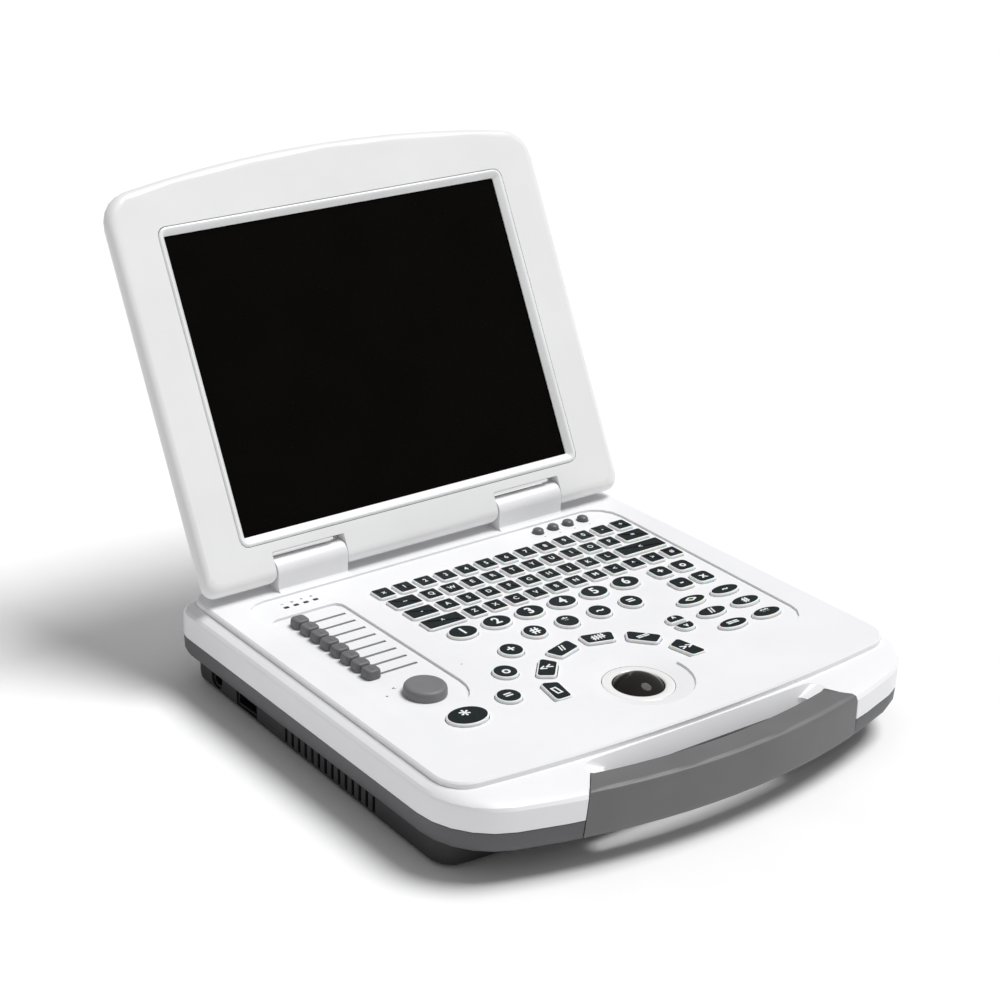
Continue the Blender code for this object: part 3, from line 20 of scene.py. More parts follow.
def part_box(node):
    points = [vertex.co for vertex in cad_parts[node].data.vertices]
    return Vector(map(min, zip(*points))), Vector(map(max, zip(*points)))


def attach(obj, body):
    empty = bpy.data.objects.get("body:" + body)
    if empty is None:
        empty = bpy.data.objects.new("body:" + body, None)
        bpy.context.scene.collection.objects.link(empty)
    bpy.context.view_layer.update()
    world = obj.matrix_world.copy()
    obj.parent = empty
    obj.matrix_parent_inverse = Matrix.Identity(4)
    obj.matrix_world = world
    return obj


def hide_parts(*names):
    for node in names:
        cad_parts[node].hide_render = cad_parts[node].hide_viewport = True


log = logging.getLogger("scanner")

MM = 0.001
# Places of two CAD nodes in the deck frame, which tell where its origin is
BALL_TO_ORIGIN = 168.1 * MM
MAT_TOP = 0.7 * MM
# Bends, in degrees: from this one an edge is rounded, and from the other it shows as a line
ROUNDED_FROM = 35
CREASED_FROM = 38
# Height of a printed mark above and below the face that it is printed on
INK_HALF = 0.03 * MM
# Spacing of the slow cloud that makes a moulded wall's colour slightly uneven
CLOUD = 40 * MM
Outline = list[tuple[float, float]]
Level = tuple[float, float, int]

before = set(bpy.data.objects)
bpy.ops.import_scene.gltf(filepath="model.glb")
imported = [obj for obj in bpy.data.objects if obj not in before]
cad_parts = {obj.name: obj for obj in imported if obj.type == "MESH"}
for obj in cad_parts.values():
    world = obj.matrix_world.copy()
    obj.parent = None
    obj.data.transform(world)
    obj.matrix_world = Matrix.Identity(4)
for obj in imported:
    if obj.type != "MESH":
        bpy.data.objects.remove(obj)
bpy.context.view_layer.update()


# ---------------------------------------------------------------- finishes

def linear(colour: str) -> tuple[float, float, float, float]:
    """Turn an sRGB hex colour into the linear colour that a shader needs.

    Args:
        colour: six hex digits.

    Returns:
        Linear red, green, blue and alpha.
    """
    channels = [int(colour[i:i + 2], 16) / 255 for i in (0, 2, 4)]
    curve = [c / 12.92 if c <= 0.04045 else ((c + 0.055) / 1.055) ** 2.4 for c in channels]
    return (curve[0], curve[1], curve[2], 1.0)


def add_node(tree: bpy.types.NodeTree, kind: str, values: dict | None = None,
             links: dict | None = None, **settings: object) -> bpy.types.Node:
    """Add one shader node.

    Args:
        tree: the node tree to add it to.
        kind: the node's type.
        values: values for its input sockets, by name.
        links: output sockets to join to its input sockets, by name.
        settings: values for the node's own properties.

    Returns:
        The new node.
    """
    node = tree.nodes.new(kind)
    for name, value in settings.items():
        setattr(node, name, value)
    for name, value in (values or {}).items():
        node.inputs[name].default_value = value
    for name, socket in (links or {}).items():
        tree.links.new(socket, node.inputs[name])
    return node


class Texture(Enum):
    """How a surface was made, which decides its pattern."""

    SPARK_GRAIN = "spark-eroded mould grain"
    POLISHED = "polished mould"
    RUBBER = "matt rubber"
    BRUSHED = "drawn or brushed metal"
    PRINT = "screen print"


@dataclass(frozen=True)
class Finish:
    """One real material and the way its surface was made.

    Attributes:
        name: the material's common name and process.
        colour: its sRGB hex colour.
        shade: a second sRGB hex colour that mottles it slightly.
        roughness: middle of its roughness.
        texture: how the surface was made.
        grain: spacing of the surface pattern, in metres.
        depth: height of the surface pattern, in metres.
        metallic: 1 for bare metal.
        coat: share of clear gloss over it.
        scatter: share of light that spreads inside it.
        specular: strength of its mirror reflection; 0.5 is a plain plastic.
    """

    name: str
    colour: str
    shade: str
    roughness: float
    texture: Texture = Texture.SPARK_GRAIN
    grain: float = 0.7 * MM
    depth: float = 0.02 * MM
    metallic: float = 0.0
    coat: float = 0.0
    scatter: float = 0.0
    specular: float = 0.5

    def material(self) -> bpy.types.Material:
        """Make the material, or return it if it's already made."""
        return bpy.data.materials.get(self.name) or self.make()

    def make(self) -> bpy.types.Material:
        """Build the material's nodes.

        Returns:
            The new material.
        """
        made = bpy.data.materials.new(self.name)
        made.use_nodes = True
        tree = made.node_tree
        tree.nodes.clear()
        place = add_node(tree, "ShaderNodeTexCoord").outputs["Object"]
        # Drawn metal is streaked along one way, so its pattern is stretched twelve times
        stretch = (1, 12, 12) if self.texture is Texture.BRUSHED else (1, 1, 1)
        laid = add_node(tree, "ShaderNodeMapping", {"Scale": stretch}, {"Vector": place})
        noise = {"Scale": 1 / self.grain, "Detail": 3.0, "Roughness": 0.6}
        fine = add_node(tree, "ShaderNodeTexNoise", noise, {"Vector": laid.outputs["Vector"]}).outputs["Fac"]
        cloud = add_node(tree, "ShaderNodeTexNoise", {"Scale": 1 / CLOUD, "Detail": 2.0},
                         {"Vector": place}).outputs["Fac"]
        tone = add_node(tree, "ShaderNodeMapRange", {"From Min": 0.35, "From Max": 0.65},
                        {"Value": cloud}).outputs["Result"]
        colour = self.mixed(tree, tone)
        gloss = add_node(tree, "ShaderNodeMapRange", {
            "From Min": 0.3, "From Max": 0.7, "To Min": max(self.roughness - 0.05, 0.02),
            "To Max": min(self.roughness + 0.05, 1.0)}, {"Value": fine}).outputs["Result"]
        bump = add_node(tree, "ShaderNodeBump", {"Strength": 0.6, "Distance": self.depth}, {"Height": fine})
        values = {"Metallic": self.metallic, "Coat Weight": self.coat, "Coat Roughness": 0.06,
                  "Subsurface Weight": self.scatter, "Subsurface Scale": 1.5 * MM,
                  "Specular IOR Level": self.specular}
        links = {"Base Color": colour, "Roughness": gloss, "Normal": bump.outputs["Normal"]}
        shader = add_node(tree, "ShaderNodeBsdfPrincipled", values, links)
        add_node(tree, "ShaderNodeOutputMaterial", links={"Surface": shader.outputs["BSDF"]})
        return made

    def mixed(self, tree: bpy.types.NodeTree, tone: bpy.types.NodeSocket) -> bpy.types.NodeSocket:
        """Mix the two colours by a tone.

        Args:
            tree: the node tree.
            tone: the share of the second colour.

        Returns:
            The mixed colour's socket.
        """
        ramp = add_node(tree, "ShaderNodeValToRGB", links={"Fac": tone})
        ramp.color_ramp.elements[0].color = linear(self.colour)
        ramp.color_ramp.elements[1].color = linear(self.shade)
        return ramp.outputs["Color"]


class Surface(Enum):
    """Every finish on the scanner."""

    # ABS/PC casing, fine spark grain 0.7 mm: soft broad highlights, no mirror image
    CASE_WHITE = Finish("abs_white_spark_grain", "f4f4f6", "f1f1f3", 0.36)
    LID_WHITE = Finish("abs_white_lid_spark_grain", "f4f4f4", "f1f1f1", 0.34)
    # The screen's bevelled ring is moulded in a smoother tool, so it shines more
    RING_WHITE = Finish(
        "abs_white_satin", "f5f6f6", "f0f1f1", 0.24, Texture.POLISHED, 2 * MM, 0.004 * MM, coat=0.15)
    BAND_GREY = Finish("abs_mid_grey_spark_grain", "5c5c5f", "565659", 0.5, depth=0.03 * MM)
    HANDLE_GREY = Finish("abs_grey_handle_spark_grain", "6e6e6f", "686869", 0.5, depth=0.03 * MM)
    BASE_DARK = Finish(
        "abs_charcoal_spark_grain", "29292b", "242426", 0.55, grain=0.9 * MM, depth=0.04 * MM)
    # Elastomer feet: matt, with a coarse skin
    FOOT_RUBBER = Finish("rubber_black_matt", "1c1c1d", "242425", 0.85, Texture.RUBBER, 1.2 * MM, 0.08 * MM)
    # Translucent silicone: light spreads inside it, so edges look soft and bright
    SILICONE_WHITE = Finish(
        "silicone_white_translucent", "f6f9f9", "f0f4f4", 0.42, Texture.RUBBER, 0.5 * MM, 0.01 * MM,
        scatter=0.3)
    # Black print on the keys' tops, sealed with a satin lacquer
    KEY_BLACK = Finish(
        "silicone_black_print_lacquer", "0f191c", "141e21", 0.5, Texture.PRINT, 0.4 * MM, 0.01 * MM,
        specular=0.2)
    LEGEND_WHITE = Finish(
        "ink_white_screen_print", "f4f6f6", "e9ecec", 0.5, Texture.PRINT, 0.3 * MM, 0.005 * MM)
    MARK_GREY = Finish(
        "ink_dark_grey_screen_print", "3b3e40", "45484a", 0.55, Texture.PRINT, 0.3 * MM, 0.005 * MM)
    KNOB_GREY = Finish("abs_grey_knob_spark_grain", "7a7a7c", "737375", 0.5, grain=0.5 * MM)
    SLIDER_GREY = Finish("abs_grey_slider_spark_grain", "717174", "69696c", 0.5, grain=0.5 * MM)
    BUTTON_GREY = Finish(
        "abs_grey_button_polished", "606266", "58595d", 0.38, Texture.POLISHED, 0.5 * MM, 0.01 * MM)
    # Phenolic ball, ground and polished: deep black with a small sharp glint
    BALL_BLACK = Finish(
        "phenolic_black_polished", "262323", "2c2929", 0.08, Texture.POLISHED, 3 * MM, 0.002 * MM,
        specular=0.08)
    BALL_RING = Finish(
        "acetal_white_polished", "f6f6f5", "f1f1f0", 0.16, Texture.POLISHED, 3 * MM, 0.002 * MM,
        coat=0.4)
    LAMP_SMOKE = Finish(
        "acrylic_smoked_polished", "26282a", "1c1e20", 0.1, Texture.POLISHED, 2 * MM, 0.002 * MM)
    # Hard-coated display glass over a dark panel that is switched off
    SCREEN_GLASS = Finish(
        "glass_display_antiglare", "050403", "070605", 0.3, Texture.POLISHED, 1.5 * MM, 0.002 * MM,
        specular=0.06)
    NICKEL = Finish(
        "steel_nickel_plated_brushed", "a2a3a5", "97989a", 0.3, Texture.BRUSHED, 1.2 * MM, 0.01 * MM,
        1.0)
    STEEL = Finish(
        "steel_bright_drawn", "9a9c9f", "8e9093", 0.32, Texture.BRUSHED, 1.5 * MM, 0.01 * MM, 1.0)
    SOCKET_BLACK = Finish("nylon_black_moulded", "151516", "1b1b1c", 0.5, grain=0.6 * MM)
    BOARD_GREEN = Finish(
        "fr4_green_solder_mask", "1e4a32", "1a422c", 0.4, Texture.POLISHED, 1 * MM, 0.02 * MM)
    BATTERY_WRAP = Finish(
        "pvc_blue_black_shrink_wrap", "26303c", "202a35", 0.5, Texture.POLISHED, 4 * MM, 0.1 * MM)
    LABEL_SILVER = Finish(
        "polyester_label_silver_matt", "b9bbbc", "b2b4b5", 0.45, Texture.BRUSHED, 0.8 * MM, 0.005 * MM)


def dress(piece: bpy.types.Object, *surfaces: Surface) -> bpy.types.Object:
    """Give a piece its finishes, one for each material slot.

    Args:
        piece: the piece.
        surfaces: its finishes, in slot order.

    Returns:
        The same piece.
    """
    for index, surface in enumerate(surfaces):
        if index < len(piece.data.materials):
            piece.data.materials[index] = surface.value.material()
        else:
            piece.data.materials.append(surface.value.material())
    return piece


# ---------------------------------------------------------------- modelling by hand

def deselect() -> None:
    """Leave object mode and select nothing."""
    if bpy.context.object and bpy.context.object.mode != "OBJECT":
        bpy.ops.object.mode_set(mode="OBJECT")
    bpy.ops.object.select_all(action="DESELECT")


@contextmanager
def editing(piece: bpy.types.Object) -> Iterator[bpy.types.Object]:
    """Edit one piece with everything in it selected.

    Args:
        piece: the piece to edit.

    Yields:
        The same piece, in edit mode.
    """
    deselect()
    piece.select_set(True)
    bpy.context.view_layer.objects.active = piece
    bpy.ops.object.mode_set(mode="EDIT")
    bpy.ops.mesh.select_mode(type="FACE")
    bpy.ops.mesh.select_all(action="SELECT")
    yield piece
    bpy.ops.object.mode_set(mode="OBJECT")


def softened(piece: bpy.types.Object, width: float, segments: int = 2,
             crease: float = CREASED_FROM) -> bpy.types.Object:
    """Round a piece's sharp edges and shade it smooth.

    Args:
        piece: the piece.
        width: width of the rounding.
        segments: faces across the rounding.
        crease: smallest bend, in degrees, that still shows as a line.

    Returns:
        The same piece.
    """
    deselect()
    piece.select_set(True)
    bpy.context.view_layer.objects.active = piece
    if width:
        bevel = piece.modifiers.new("edges", "BEVEL")
        bevel.width = width
        bevel.segments = segments
        bevel.angle_limit = math.radians(ROUNDED_FROM)
        bevel.use_clamp_overlap = False
        bpy.ops.object.modifier_apply(modifier=bevel.name)
    bpy.ops.object.shade_smooth_by_angle(angle=math.radians(crease))
    normals = piece.modifiers.new("flat_faces_stay_flat", "WEIGHTED_NORMAL")
    normals.keep_sharp = True
    bpy.ops.object.modifier_apply(modifier=normals.name)
    return piece


def raised(name: str, outline: Sequence[tuple[float, float]], base: float,
           levels: Sequence[Level]) -> bpy.types.Object:
    """Raise a closed outline into a moulded shape, level by level.

    Args:
        name: the piece's name.
        outline: its outline from above, anticlockwise.
        base: height of its underside.
        levels: inset, height and material slot of each level above the underside.

    Returns:
        The piece.
    """
    deselect()
    bpy.ops.mesh.primitive_circle_add(vertices=len(outline), radius=MM, fill_type="NGON")
    piece = bpy.context.object
    piece.name = name
    for vertex, (x, y) in zip(piece.data.vertices, outline):
        vertex.co = (x, y, base)
    slots = max(level[2] for level in levels) + 1
    for _ in range(slots):
        piece.data.materials.append(None)
    with editing(piece):
        inset, height, slot = 0.0, base, 0
        for next_inset, next_height, next_slot in levels:
            if next_slot != slot:
                piece.active_material_index = next_slot
                bpy.ops.object.material_slot_assign()
            rise = {"value": (0, 0, next_height - height)}
            if next_inset == inset:
                bpy.ops.mesh.extrude_region_move(TRANSFORM_OT_translate=rise)
            else:
                bpy.ops.mesh.inset(thickness=next_inset - inset, depth=0)
                bpy.ops.transform.translate(**rise)
            inset, height, slot = next_inset, next_height, next_slot
        bpy.ops.mesh.select_all(action="SELECT")
        bpy.ops.mesh.normals_make_consistent(inside=False)
    deselect()
    return piece


def spun(name: str, profile: Outline, centre: tuple[float, float], steps: int = 96) -> bpy.types.Object:
    """Spin a closed profile about a vertical axis into a ring.

    Args:
        name: the piece's name.
        profile: radius and height of each point.
        centre: the axis, as x and y.
        steps: faces round the ring.

    Returns:
        The piece.
    """
    deselect()
    bpy.ops.mesh.primitive_circle_add(vertices=len(profile), radius=MM, fill_type="NOTHING")
    piece = bpy.context.object
    piece.name = name
    for vertex, (radius, height) in zip(piece.data.vertices, profile):
        vertex.co = (centre[0] + radius, centre[1], height)
    with editing(piece):
        bpy.ops.mesh.select_mode(type="VERT")
        bpy.ops.mesh.select_all(action="SELECT")
        bpy.ops.mesh.spin(steps=steps, angle=2 * math.pi, center=(centre[0], centre[1], 0), axis=(0, 0, 1))
        bpy.ops.mesh.select_all(action="SELECT")
        bpy.ops.mesh.remove_doubles(threshold=0.005 * MM)
        bpy.ops.mesh.normals_make_consistent(inside=False)
    deselect()
    return piece


def brick(name: str, low: Sequence[float], high: Sequence[float], edge: float) -> bpy.types.Object:
    """A block between two corners with rounded edges.

    Args:
        name: the piece's name.
        low: its lowest corner.
        high: its highest corner.
        edge: width of the rounding.

    Returns:
        The piece.
    """
    deselect()
    middle = [(a + b) / 2 for a, b in zip(low, high)]
    bpy.ops.mesh.primitive_cube_add(size=1, location=middle, scale=[b - a for a, b in zip(low, high)])
    piece = bpy.context.object
    piece.name = name
    bpy.ops.object.transform_apply(location=True, rotation=True, scale=True)
    return softened(piece, edge, 3)


def sign(text: str, size: float, place: Sequence[float], bold: float = 0.0) -> bpy.types.Object:
    """A printed sign, a hair's breadth thick, that lies flat on the panel.

    Args:
        text: one or a few plain characters.
        size: height of the type.
        place: its middle, on the surface that it is printed on.
        bold: how much its strokes are widened.

    Returns:
        The sign as a mesh.
    """
    deselect()
    bpy.ops.object.text_add()
    letter = bpy.context.object
    letter.data.body = text
    letter.data.size = size
    letter.data.align_x = "CENTER"
    letter.data.align_y = "CENTER"
    letter.data.extrude = INK_HALF
    letter.data.offset = bold
    letter.data.resolution_u = 3
    bpy.ops.object.convert(target="MESH")
    letter = bpy.context.object
    letter.data.transform(Matrix.Translation(place))
    dress(letter, Surface.LEGEND_WHITE)
    return letter


def joined(name: str, pieces: Sequence[bpy.types.Object]) -> bpy.types.Object:
    """Join pieces into one.

    Args:
        name: the joined piece's name.
        pieces: what goes into it.

    Returns:
        The joined piece.
    """
    deselect()
    for piece in pieces:
        piece.select_set(True)
    bpy.context.view_layer.objects.active = pieces[0]
    if len(pieces) > 1:
        bpy.ops.object.join()
    pieces[0].name = name
    return pieces[0]


def copied(piece: bpy.types.Object, name: str, shift: Sequence[float]) -> bpy.types.Object:
    """Copy a piece, with its own mesh, to another place.

    Args:
        piece: the piece to copy.
        name: the copy's name.
        shift: how far the copy is from the piece.

    Returns:
        The copy.
    """
    made = bpy.data.objects.new(name, piece.data.copy())
    bpy.context.scene.collection.objects.link(made)
    made.data.transform(Matrix.Translation(shift))
    return made


def discard(piece: bpy.types.Object) -> None:
    """Remove a piece that was only a pattern for copies."""
    bpy.data.objects.remove(piece)


def deck_origin() -> Vector:
    """The deck frame's origin in the frame's own coordinates, read from the CAD nodes."""
    cup_low, cup_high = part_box("trackball_cup")
    mat_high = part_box("letter_mat")[1]
    return Vector((0, (cup_low.y + cup_high.y) / 2 + BALL_TO_ORIGIN, mat_high.z - MAT_TOP))


ORIGIN = deck_origin()


def fit(piece: bpy.types.Object, body: str, slot: str, *nodes: str) -> bpy.types.Object:
    """Move a finished piece from the deck frame to the CAD's, and tie it to the CAD.

    Args:
        piece: the finished piece, in the deck frame.
        body: the CAD body that it moves with.
        slot: a material slot of the frame; not used.
        nodes: the CAD nodes that it stands for.

    Returns:
        The same piece.
    """
    piece.data.transform(Matrix.Translation(ORIGIN))
    return tie(piece, body, slot, *nodes)


def tie(piece: bpy.types.Object, body: str, slot: str, *nodes: str) -> bpy.types.Object:
    """Tie a piece that is already in place to the CAD.

    Args:
        piece: the finished piece.
        body: the CAD body that it moves with.
        slot: a material slot of the frame; not used.
        nodes: the CAD nodes that it stands for.

    Returns:
        The same piece.
    """
    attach(piece, body)
    if nodes:
        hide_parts(*nodes)
    log.info("%s rides on %s", piece.name, body)
    return piece


# ---------------------------------------------------------------- outlines

def arc(centre: tuple[float, float], radius: float, start: float, end: float, steps: int) -> Outline:
    """Points along an arc, both ends included; angles are in radians."""
    angles = [start + (end - start) * i / steps for i in range(steps + 1)]
    return [(centre[0] + radius * math.cos(a), centre[1] + radius * math.sin(a)) for a in angles]


def round_rectangle(width: float, depth: float, corners: Sequence[float], steps: int = 5) -> Outline:
    """Closed outline about (0, 0); corners lists the radii from low-left, anticlockwise."""
    half_w, half_d = width / 2, depth / 2
    outline: Outline = []
    places = ((-half_w, -half_d), (half_w, -half_d), (half_w, half_d), (-half_w, half_d))
    for index, ((x, y), radius) in enumerate(zip(places, corners)):
        centre = (x - math.copysign(radius, x), y - math.copysign(radius, y))
        start = math.pi + index * math.pi / 2
        outline += arc(centre, radius, start, start + math.pi / 2, steps)
    return outline


def ellipse(width: float, depth: float, steps: int = 44) -> Outline:
    """Closed ellipse about (0, 0)."""
    angles = [2 * math.pi * i / steps for i in range(steps)]
    return [(width / 2 * math.cos(a), depth / 2 * math.sin(a)) for a in angles]


def moved(outline: Outline, place: tuple[float, float]) -> Outline:
    """An outline moved to a place."""
    return [(x + place[0], y + place[1]) for x, y in outline]


# ---------------------------------------------------------------- casing

@dataclass
class Shell:
    """A moulded casing part that keeps the CAD's shape, with its sharp edges rounded.

    Attributes:
        node: the CAD node.
        body: the CAD body that it moves with.
        slot: its material slot.
        surface: its finish.
        edge: width of the rounding on its sharp edges.
        crease: smallest bend, in degrees, that still shows as a line.
    """

    node: str
    body: str
    slot: str
    surface: Surface
    edge: float = 0.35 * MM
    crease: float = CREASED_FROM

    def build(self) -> bpy.types.Object:
        """Copy the node's mesh, merge it, round its edges, dress it and tie it.

        Returns:
            The finished part.
        """
        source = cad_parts[self.node]
        part = bpy.data.objects.new(f"{self.node}_moulded", source.data.copy())
        bpy.context.scene.collection.objects.link(part)
        part.data.materials.clear()
        with editing(part):
            bpy.ops.mesh.remove_doubles(threshold=0.01 * MM)
            bpy.ops.mesh.customdata_custom_splitnormals_clear()
        softened(part, self.edge, crease=self.crease)
        dress(part, self.surface)
        return tie(part, self.body, self.slot, self.node)


@dataclass
class Casing:
    """The body's shells, handle and feet, and what is fixed under the base."""

    screw_places: tuple[tuple[float, float], ...] = (
        (-118 * MM, -14 * MM), (118 * MM, -14 * MM), (0, 12 * MM),
        (-122 * MM, -160 * MM), (20 * MM, -196 * MM))
    base_bottom: float = -44.5 * MM
    door_low: tuple[float, float] = (34 * MM, -190 * MM)
    door_high: tuple[float, float] = (126 * MM, -116 * MM)

    def shells(self) -> None:
        """Round and dress the shells that keep the CAD's shape."""
        rows = (
            ("lower_cover", "band_grey", Surface.BAND_GREY, 0.3 * MM),
            ("base_tray", "base_dark", Surface.BASE_DARK, 0.3 * MM),
            ("carry_handle", "handle_grey", Surface.HANDLE_GREY, 0.35 * MM),
            ("lamp_guide", "lamp_clear", Surface.LAMP_SMOKE, 0.1 * MM),
            ("foot_rear_left", "foot_rubber", Surface.FOOT_RUBBER, 0.25 * MM),
            ("foot_rear_right", "foot_rubber", Surface.FOOT_RUBBER, 0.25 * MM),
            ("foot_front_left", "foot_rubber", Surface.FOOT_RUBBER, 0.25 * MM),
            ("foot_front_right", "foot_rubber", Surface.FOOT_RUBBER, 0.25 * MM),
            ("power_inlet", "inlet_black", Surface.SOCKET_BLACK, 0.2 * MM),
            ("data_socket", "data_socket_shell", Surface.SOCKET_BLACK, 0.2 * MM),
            ("probe_socket", "probe_socket_shell", Surface.NICKEL, 0.2 * MM),
        )
        # The top cover's rim is a row of flat facets with crisp lines, so nothing on it is rounded further
        Shell("top_cover", "body", "cover_white", Surface.CASE_WHITE, 0, 18).build()
        for node, slot, surface, edge in rows:
            Shell(node, "body", slot, surface, edge).build()

    def flipped(self, piece: bpy.types.Object) -> bpy.types.Object:
        """Turn a piece that was raised upwards so that it hangs from the base.

        Args:
            piece: the piece, raised from z = 0.

        Returns:
            The same piece, facing down below the base.
        """
        turn = Matrix.Translation((0, 0, self.base_bottom)) @ Matrix.Diagonal((-1, 1, -1, 1))
        piece.data.transform(turn)
        return piece

    def screws(self) -> None:
        """Pan-head screws with a driver hole, modelled once and copied."""
        pattern = raised("screw", ellipse(5.6 * MM, 5.6 * MM, 28), -0.4 * MM, (
            (0, 0.35 * MM, 0), (0.5 * MM, 0.7 * MM, 0), (1.2 * MM, 0.85 * MM, 0), (1.7 * MM, 0.85 * MM, 0),
            (1.7001 * MM, 0.3 * MM, 0)))
        softened(pattern, 0)
        dress(pattern, Surface.NICKEL)
        self.flipped(pattern)
        for index, (x, y) in enumerate(self.screw_places):
            fit(copied(pattern, f"base_screw_{index + 1}", (x, y, 0)), "body", "base_dark")
        discard(pattern)

    def battery_door(self) -> None:
        """Door over the battery, with three finger ribs."""
        width = self.door_high[0] - self.door_low[0]
        depth = self.door_high[1] - self.door_low[1]
        middle = ((self.door_low[0] + self.door_high[0]) / 2, (self.door_low[1] + self.door_high[1]) / 2)
        door = raised("battery_door", round_rectangle(width, depth, (4 * MM,) * 4), -0.5 * MM, (
            (0, 0.35 * MM, 0), (0.3 * MM, 0.6 * MM, 0)))
        softened(door, 0)
        ribs = [brick(f"rib_{i}", (-9 * MM, (28 - 3 * i) * MM, 0.4 * MM),
                      (9 * MM, (29.4 - 3 * i) * MM, 1.1 * MM), 0.3 * MM) for i in range(3)]
        door = joined("battery_door", [door, *ribs])
        dress(door, Surface.BASE_DARK)
        self.flipped(door)
        door.data.transform(Matrix.Translation((middle[0], middle[1], 0)))
        fit(door, "body", "base_dark")

    def label(self) -> None:
        """Blank rating plate under the base."""
        plate = raised("rating_plate", round_rectangle(62 * MM, 34 * MM, (2 * MM,) * 4), -0.3 * MM, (
            (0, 0.15 * MM, 0), (0.1 * MM, 0.2 * MM, 0), (1.2 * MM, 0.2 * MM, 0), (1.3 * MM, 0.17 * MM, 0)))
        softened(plate, 0)
        dress(plate, Surface.LABEL_SILVER)
        self.flipped(plate)
        plate.data.transform(Matrix.Translation((-52 * MM, -70 * MM, 0)))
        fit(plate, "body", "base_dark")

    def build(self) -> None:
        """Build everything in the casing."""
        self.shells()
        self.screws()
        self.battery_door()
        self.label()


# ---------------------------------------------------------------- lid

@dataclass
class Lid:
    """The screen lid's shells, ring and glass, and the lips over its hinge notches."""

    hinge_y: float = 12.88 * MM
    hinge_z: float = 9.69 * MM
    tilt: float = math.radians(28.87)
    notch_starts: tuple[float, ...] = (-94.0 * MM, 49.9 * MM)
    lip_length: float = 37.6 * MM

    def place(self) -> Matrix:
        """Turn the lid's own frame, whose origin is on the hinge axis, into the deck frame."""
        return Matrix.Translation((0, self.hinge_y, self.hinge_z)) @ Matrix.Rotation(-self.tilt, 4, "X")

    def lips(self) -> None:
        """Strips that close each notch down to the knuckle, short of its right end."""
        for index, start in enumerate(self.notch_starts):
            low = (start, -6.35 * MM, 7.35 * MM)
            high = (start + self.lip_length, 6 * MM, 8.86 * MM)
            lip = brick(f"notch_lip_{index + 1}", low, high, 0.25 * MM)
            dress(lip, Surface.LID_WHITE)
            lip.data.transform(self.place())
            fit(lip, "lid", "bezel_white")

    def build(self) -> None:
        """Round and dress the lid's parts, and add the lips."""
        self.lips()
        rows = (
            ("lid_bezel", "bezel_white", Surface.LID_WHITE, 0.35 * MM),
            ("lid_cover", "lid_white", Surface.LID_WHITE, 0.35 * MM),
            ("screen_ring", "screen_ring_white", Surface.RING_WHITE, 0.12 * MM),
            ("screen_glass", "glass_black", Surface.SCREEN_GLASS, 0.15 * MM),
        )
        for node, slot, surface, edge in rows:
            Shell(node, "lid", slot, surface, edge).build()


# ---------------------------------------------------------------- keys

@dataclass(frozen=True)
class KeyForm:
    """Section through a moulded key: a white silicone skirt round a black printed top.

    Attributes:
        foot: height where the key starts, below the panel.
        top: height of the skirt's rim.
        rim: width of the white skirt seen from above.
    """

    foot: float = -3.7 * MM
    top: float = 0.3 * MM
    rim: float = 0.78 * MM

    def levels(self) -> tuple[Level, ...]:
        """Inset, height and slot of each level: 0 is the skirt and 1 the printed top."""
        return (
            (0, self.top - 0.5 * MM, 0),
            (0.12 * MM, self.top - 0.2 * MM, 0),
            (0.35 * MM, self.top, 0),
            (self.rim, self.top + 0.02 * MM, 0),
            (self.rim + 0.01 * MM, self.top + 0.12 * MM, 1),
            (self.rim + 0.2 * MM, self.top + 0.2 * MM, 1),
            (self.rim + 1.6 * MM, self.top + 0.16 * MM, 1),
        )

    def build(self, name: str, outline: Outline) -> bpy.types.Object:
        """Mould a key.

        Args:
            name: the key's name.
            outline: its outline from above.

        Returns:
            The key, with its skirt and its printed top dressed.
        """
        key = raised(name, outline, self.foot, self.levels())
        softened(key, 0)
        return dress(key, Surface.SILICONE_WHITE, Surface.KEY_BLACK)

    def legend(self, text: str, size: float, place: tuple[float, float],
               bold: float = 0.0) -> bpy.types.Object:
        """A legend printed on the key's top."""
        return sign(text, size, (place[0], place[1], self.top + 0.19 * MM), bold)


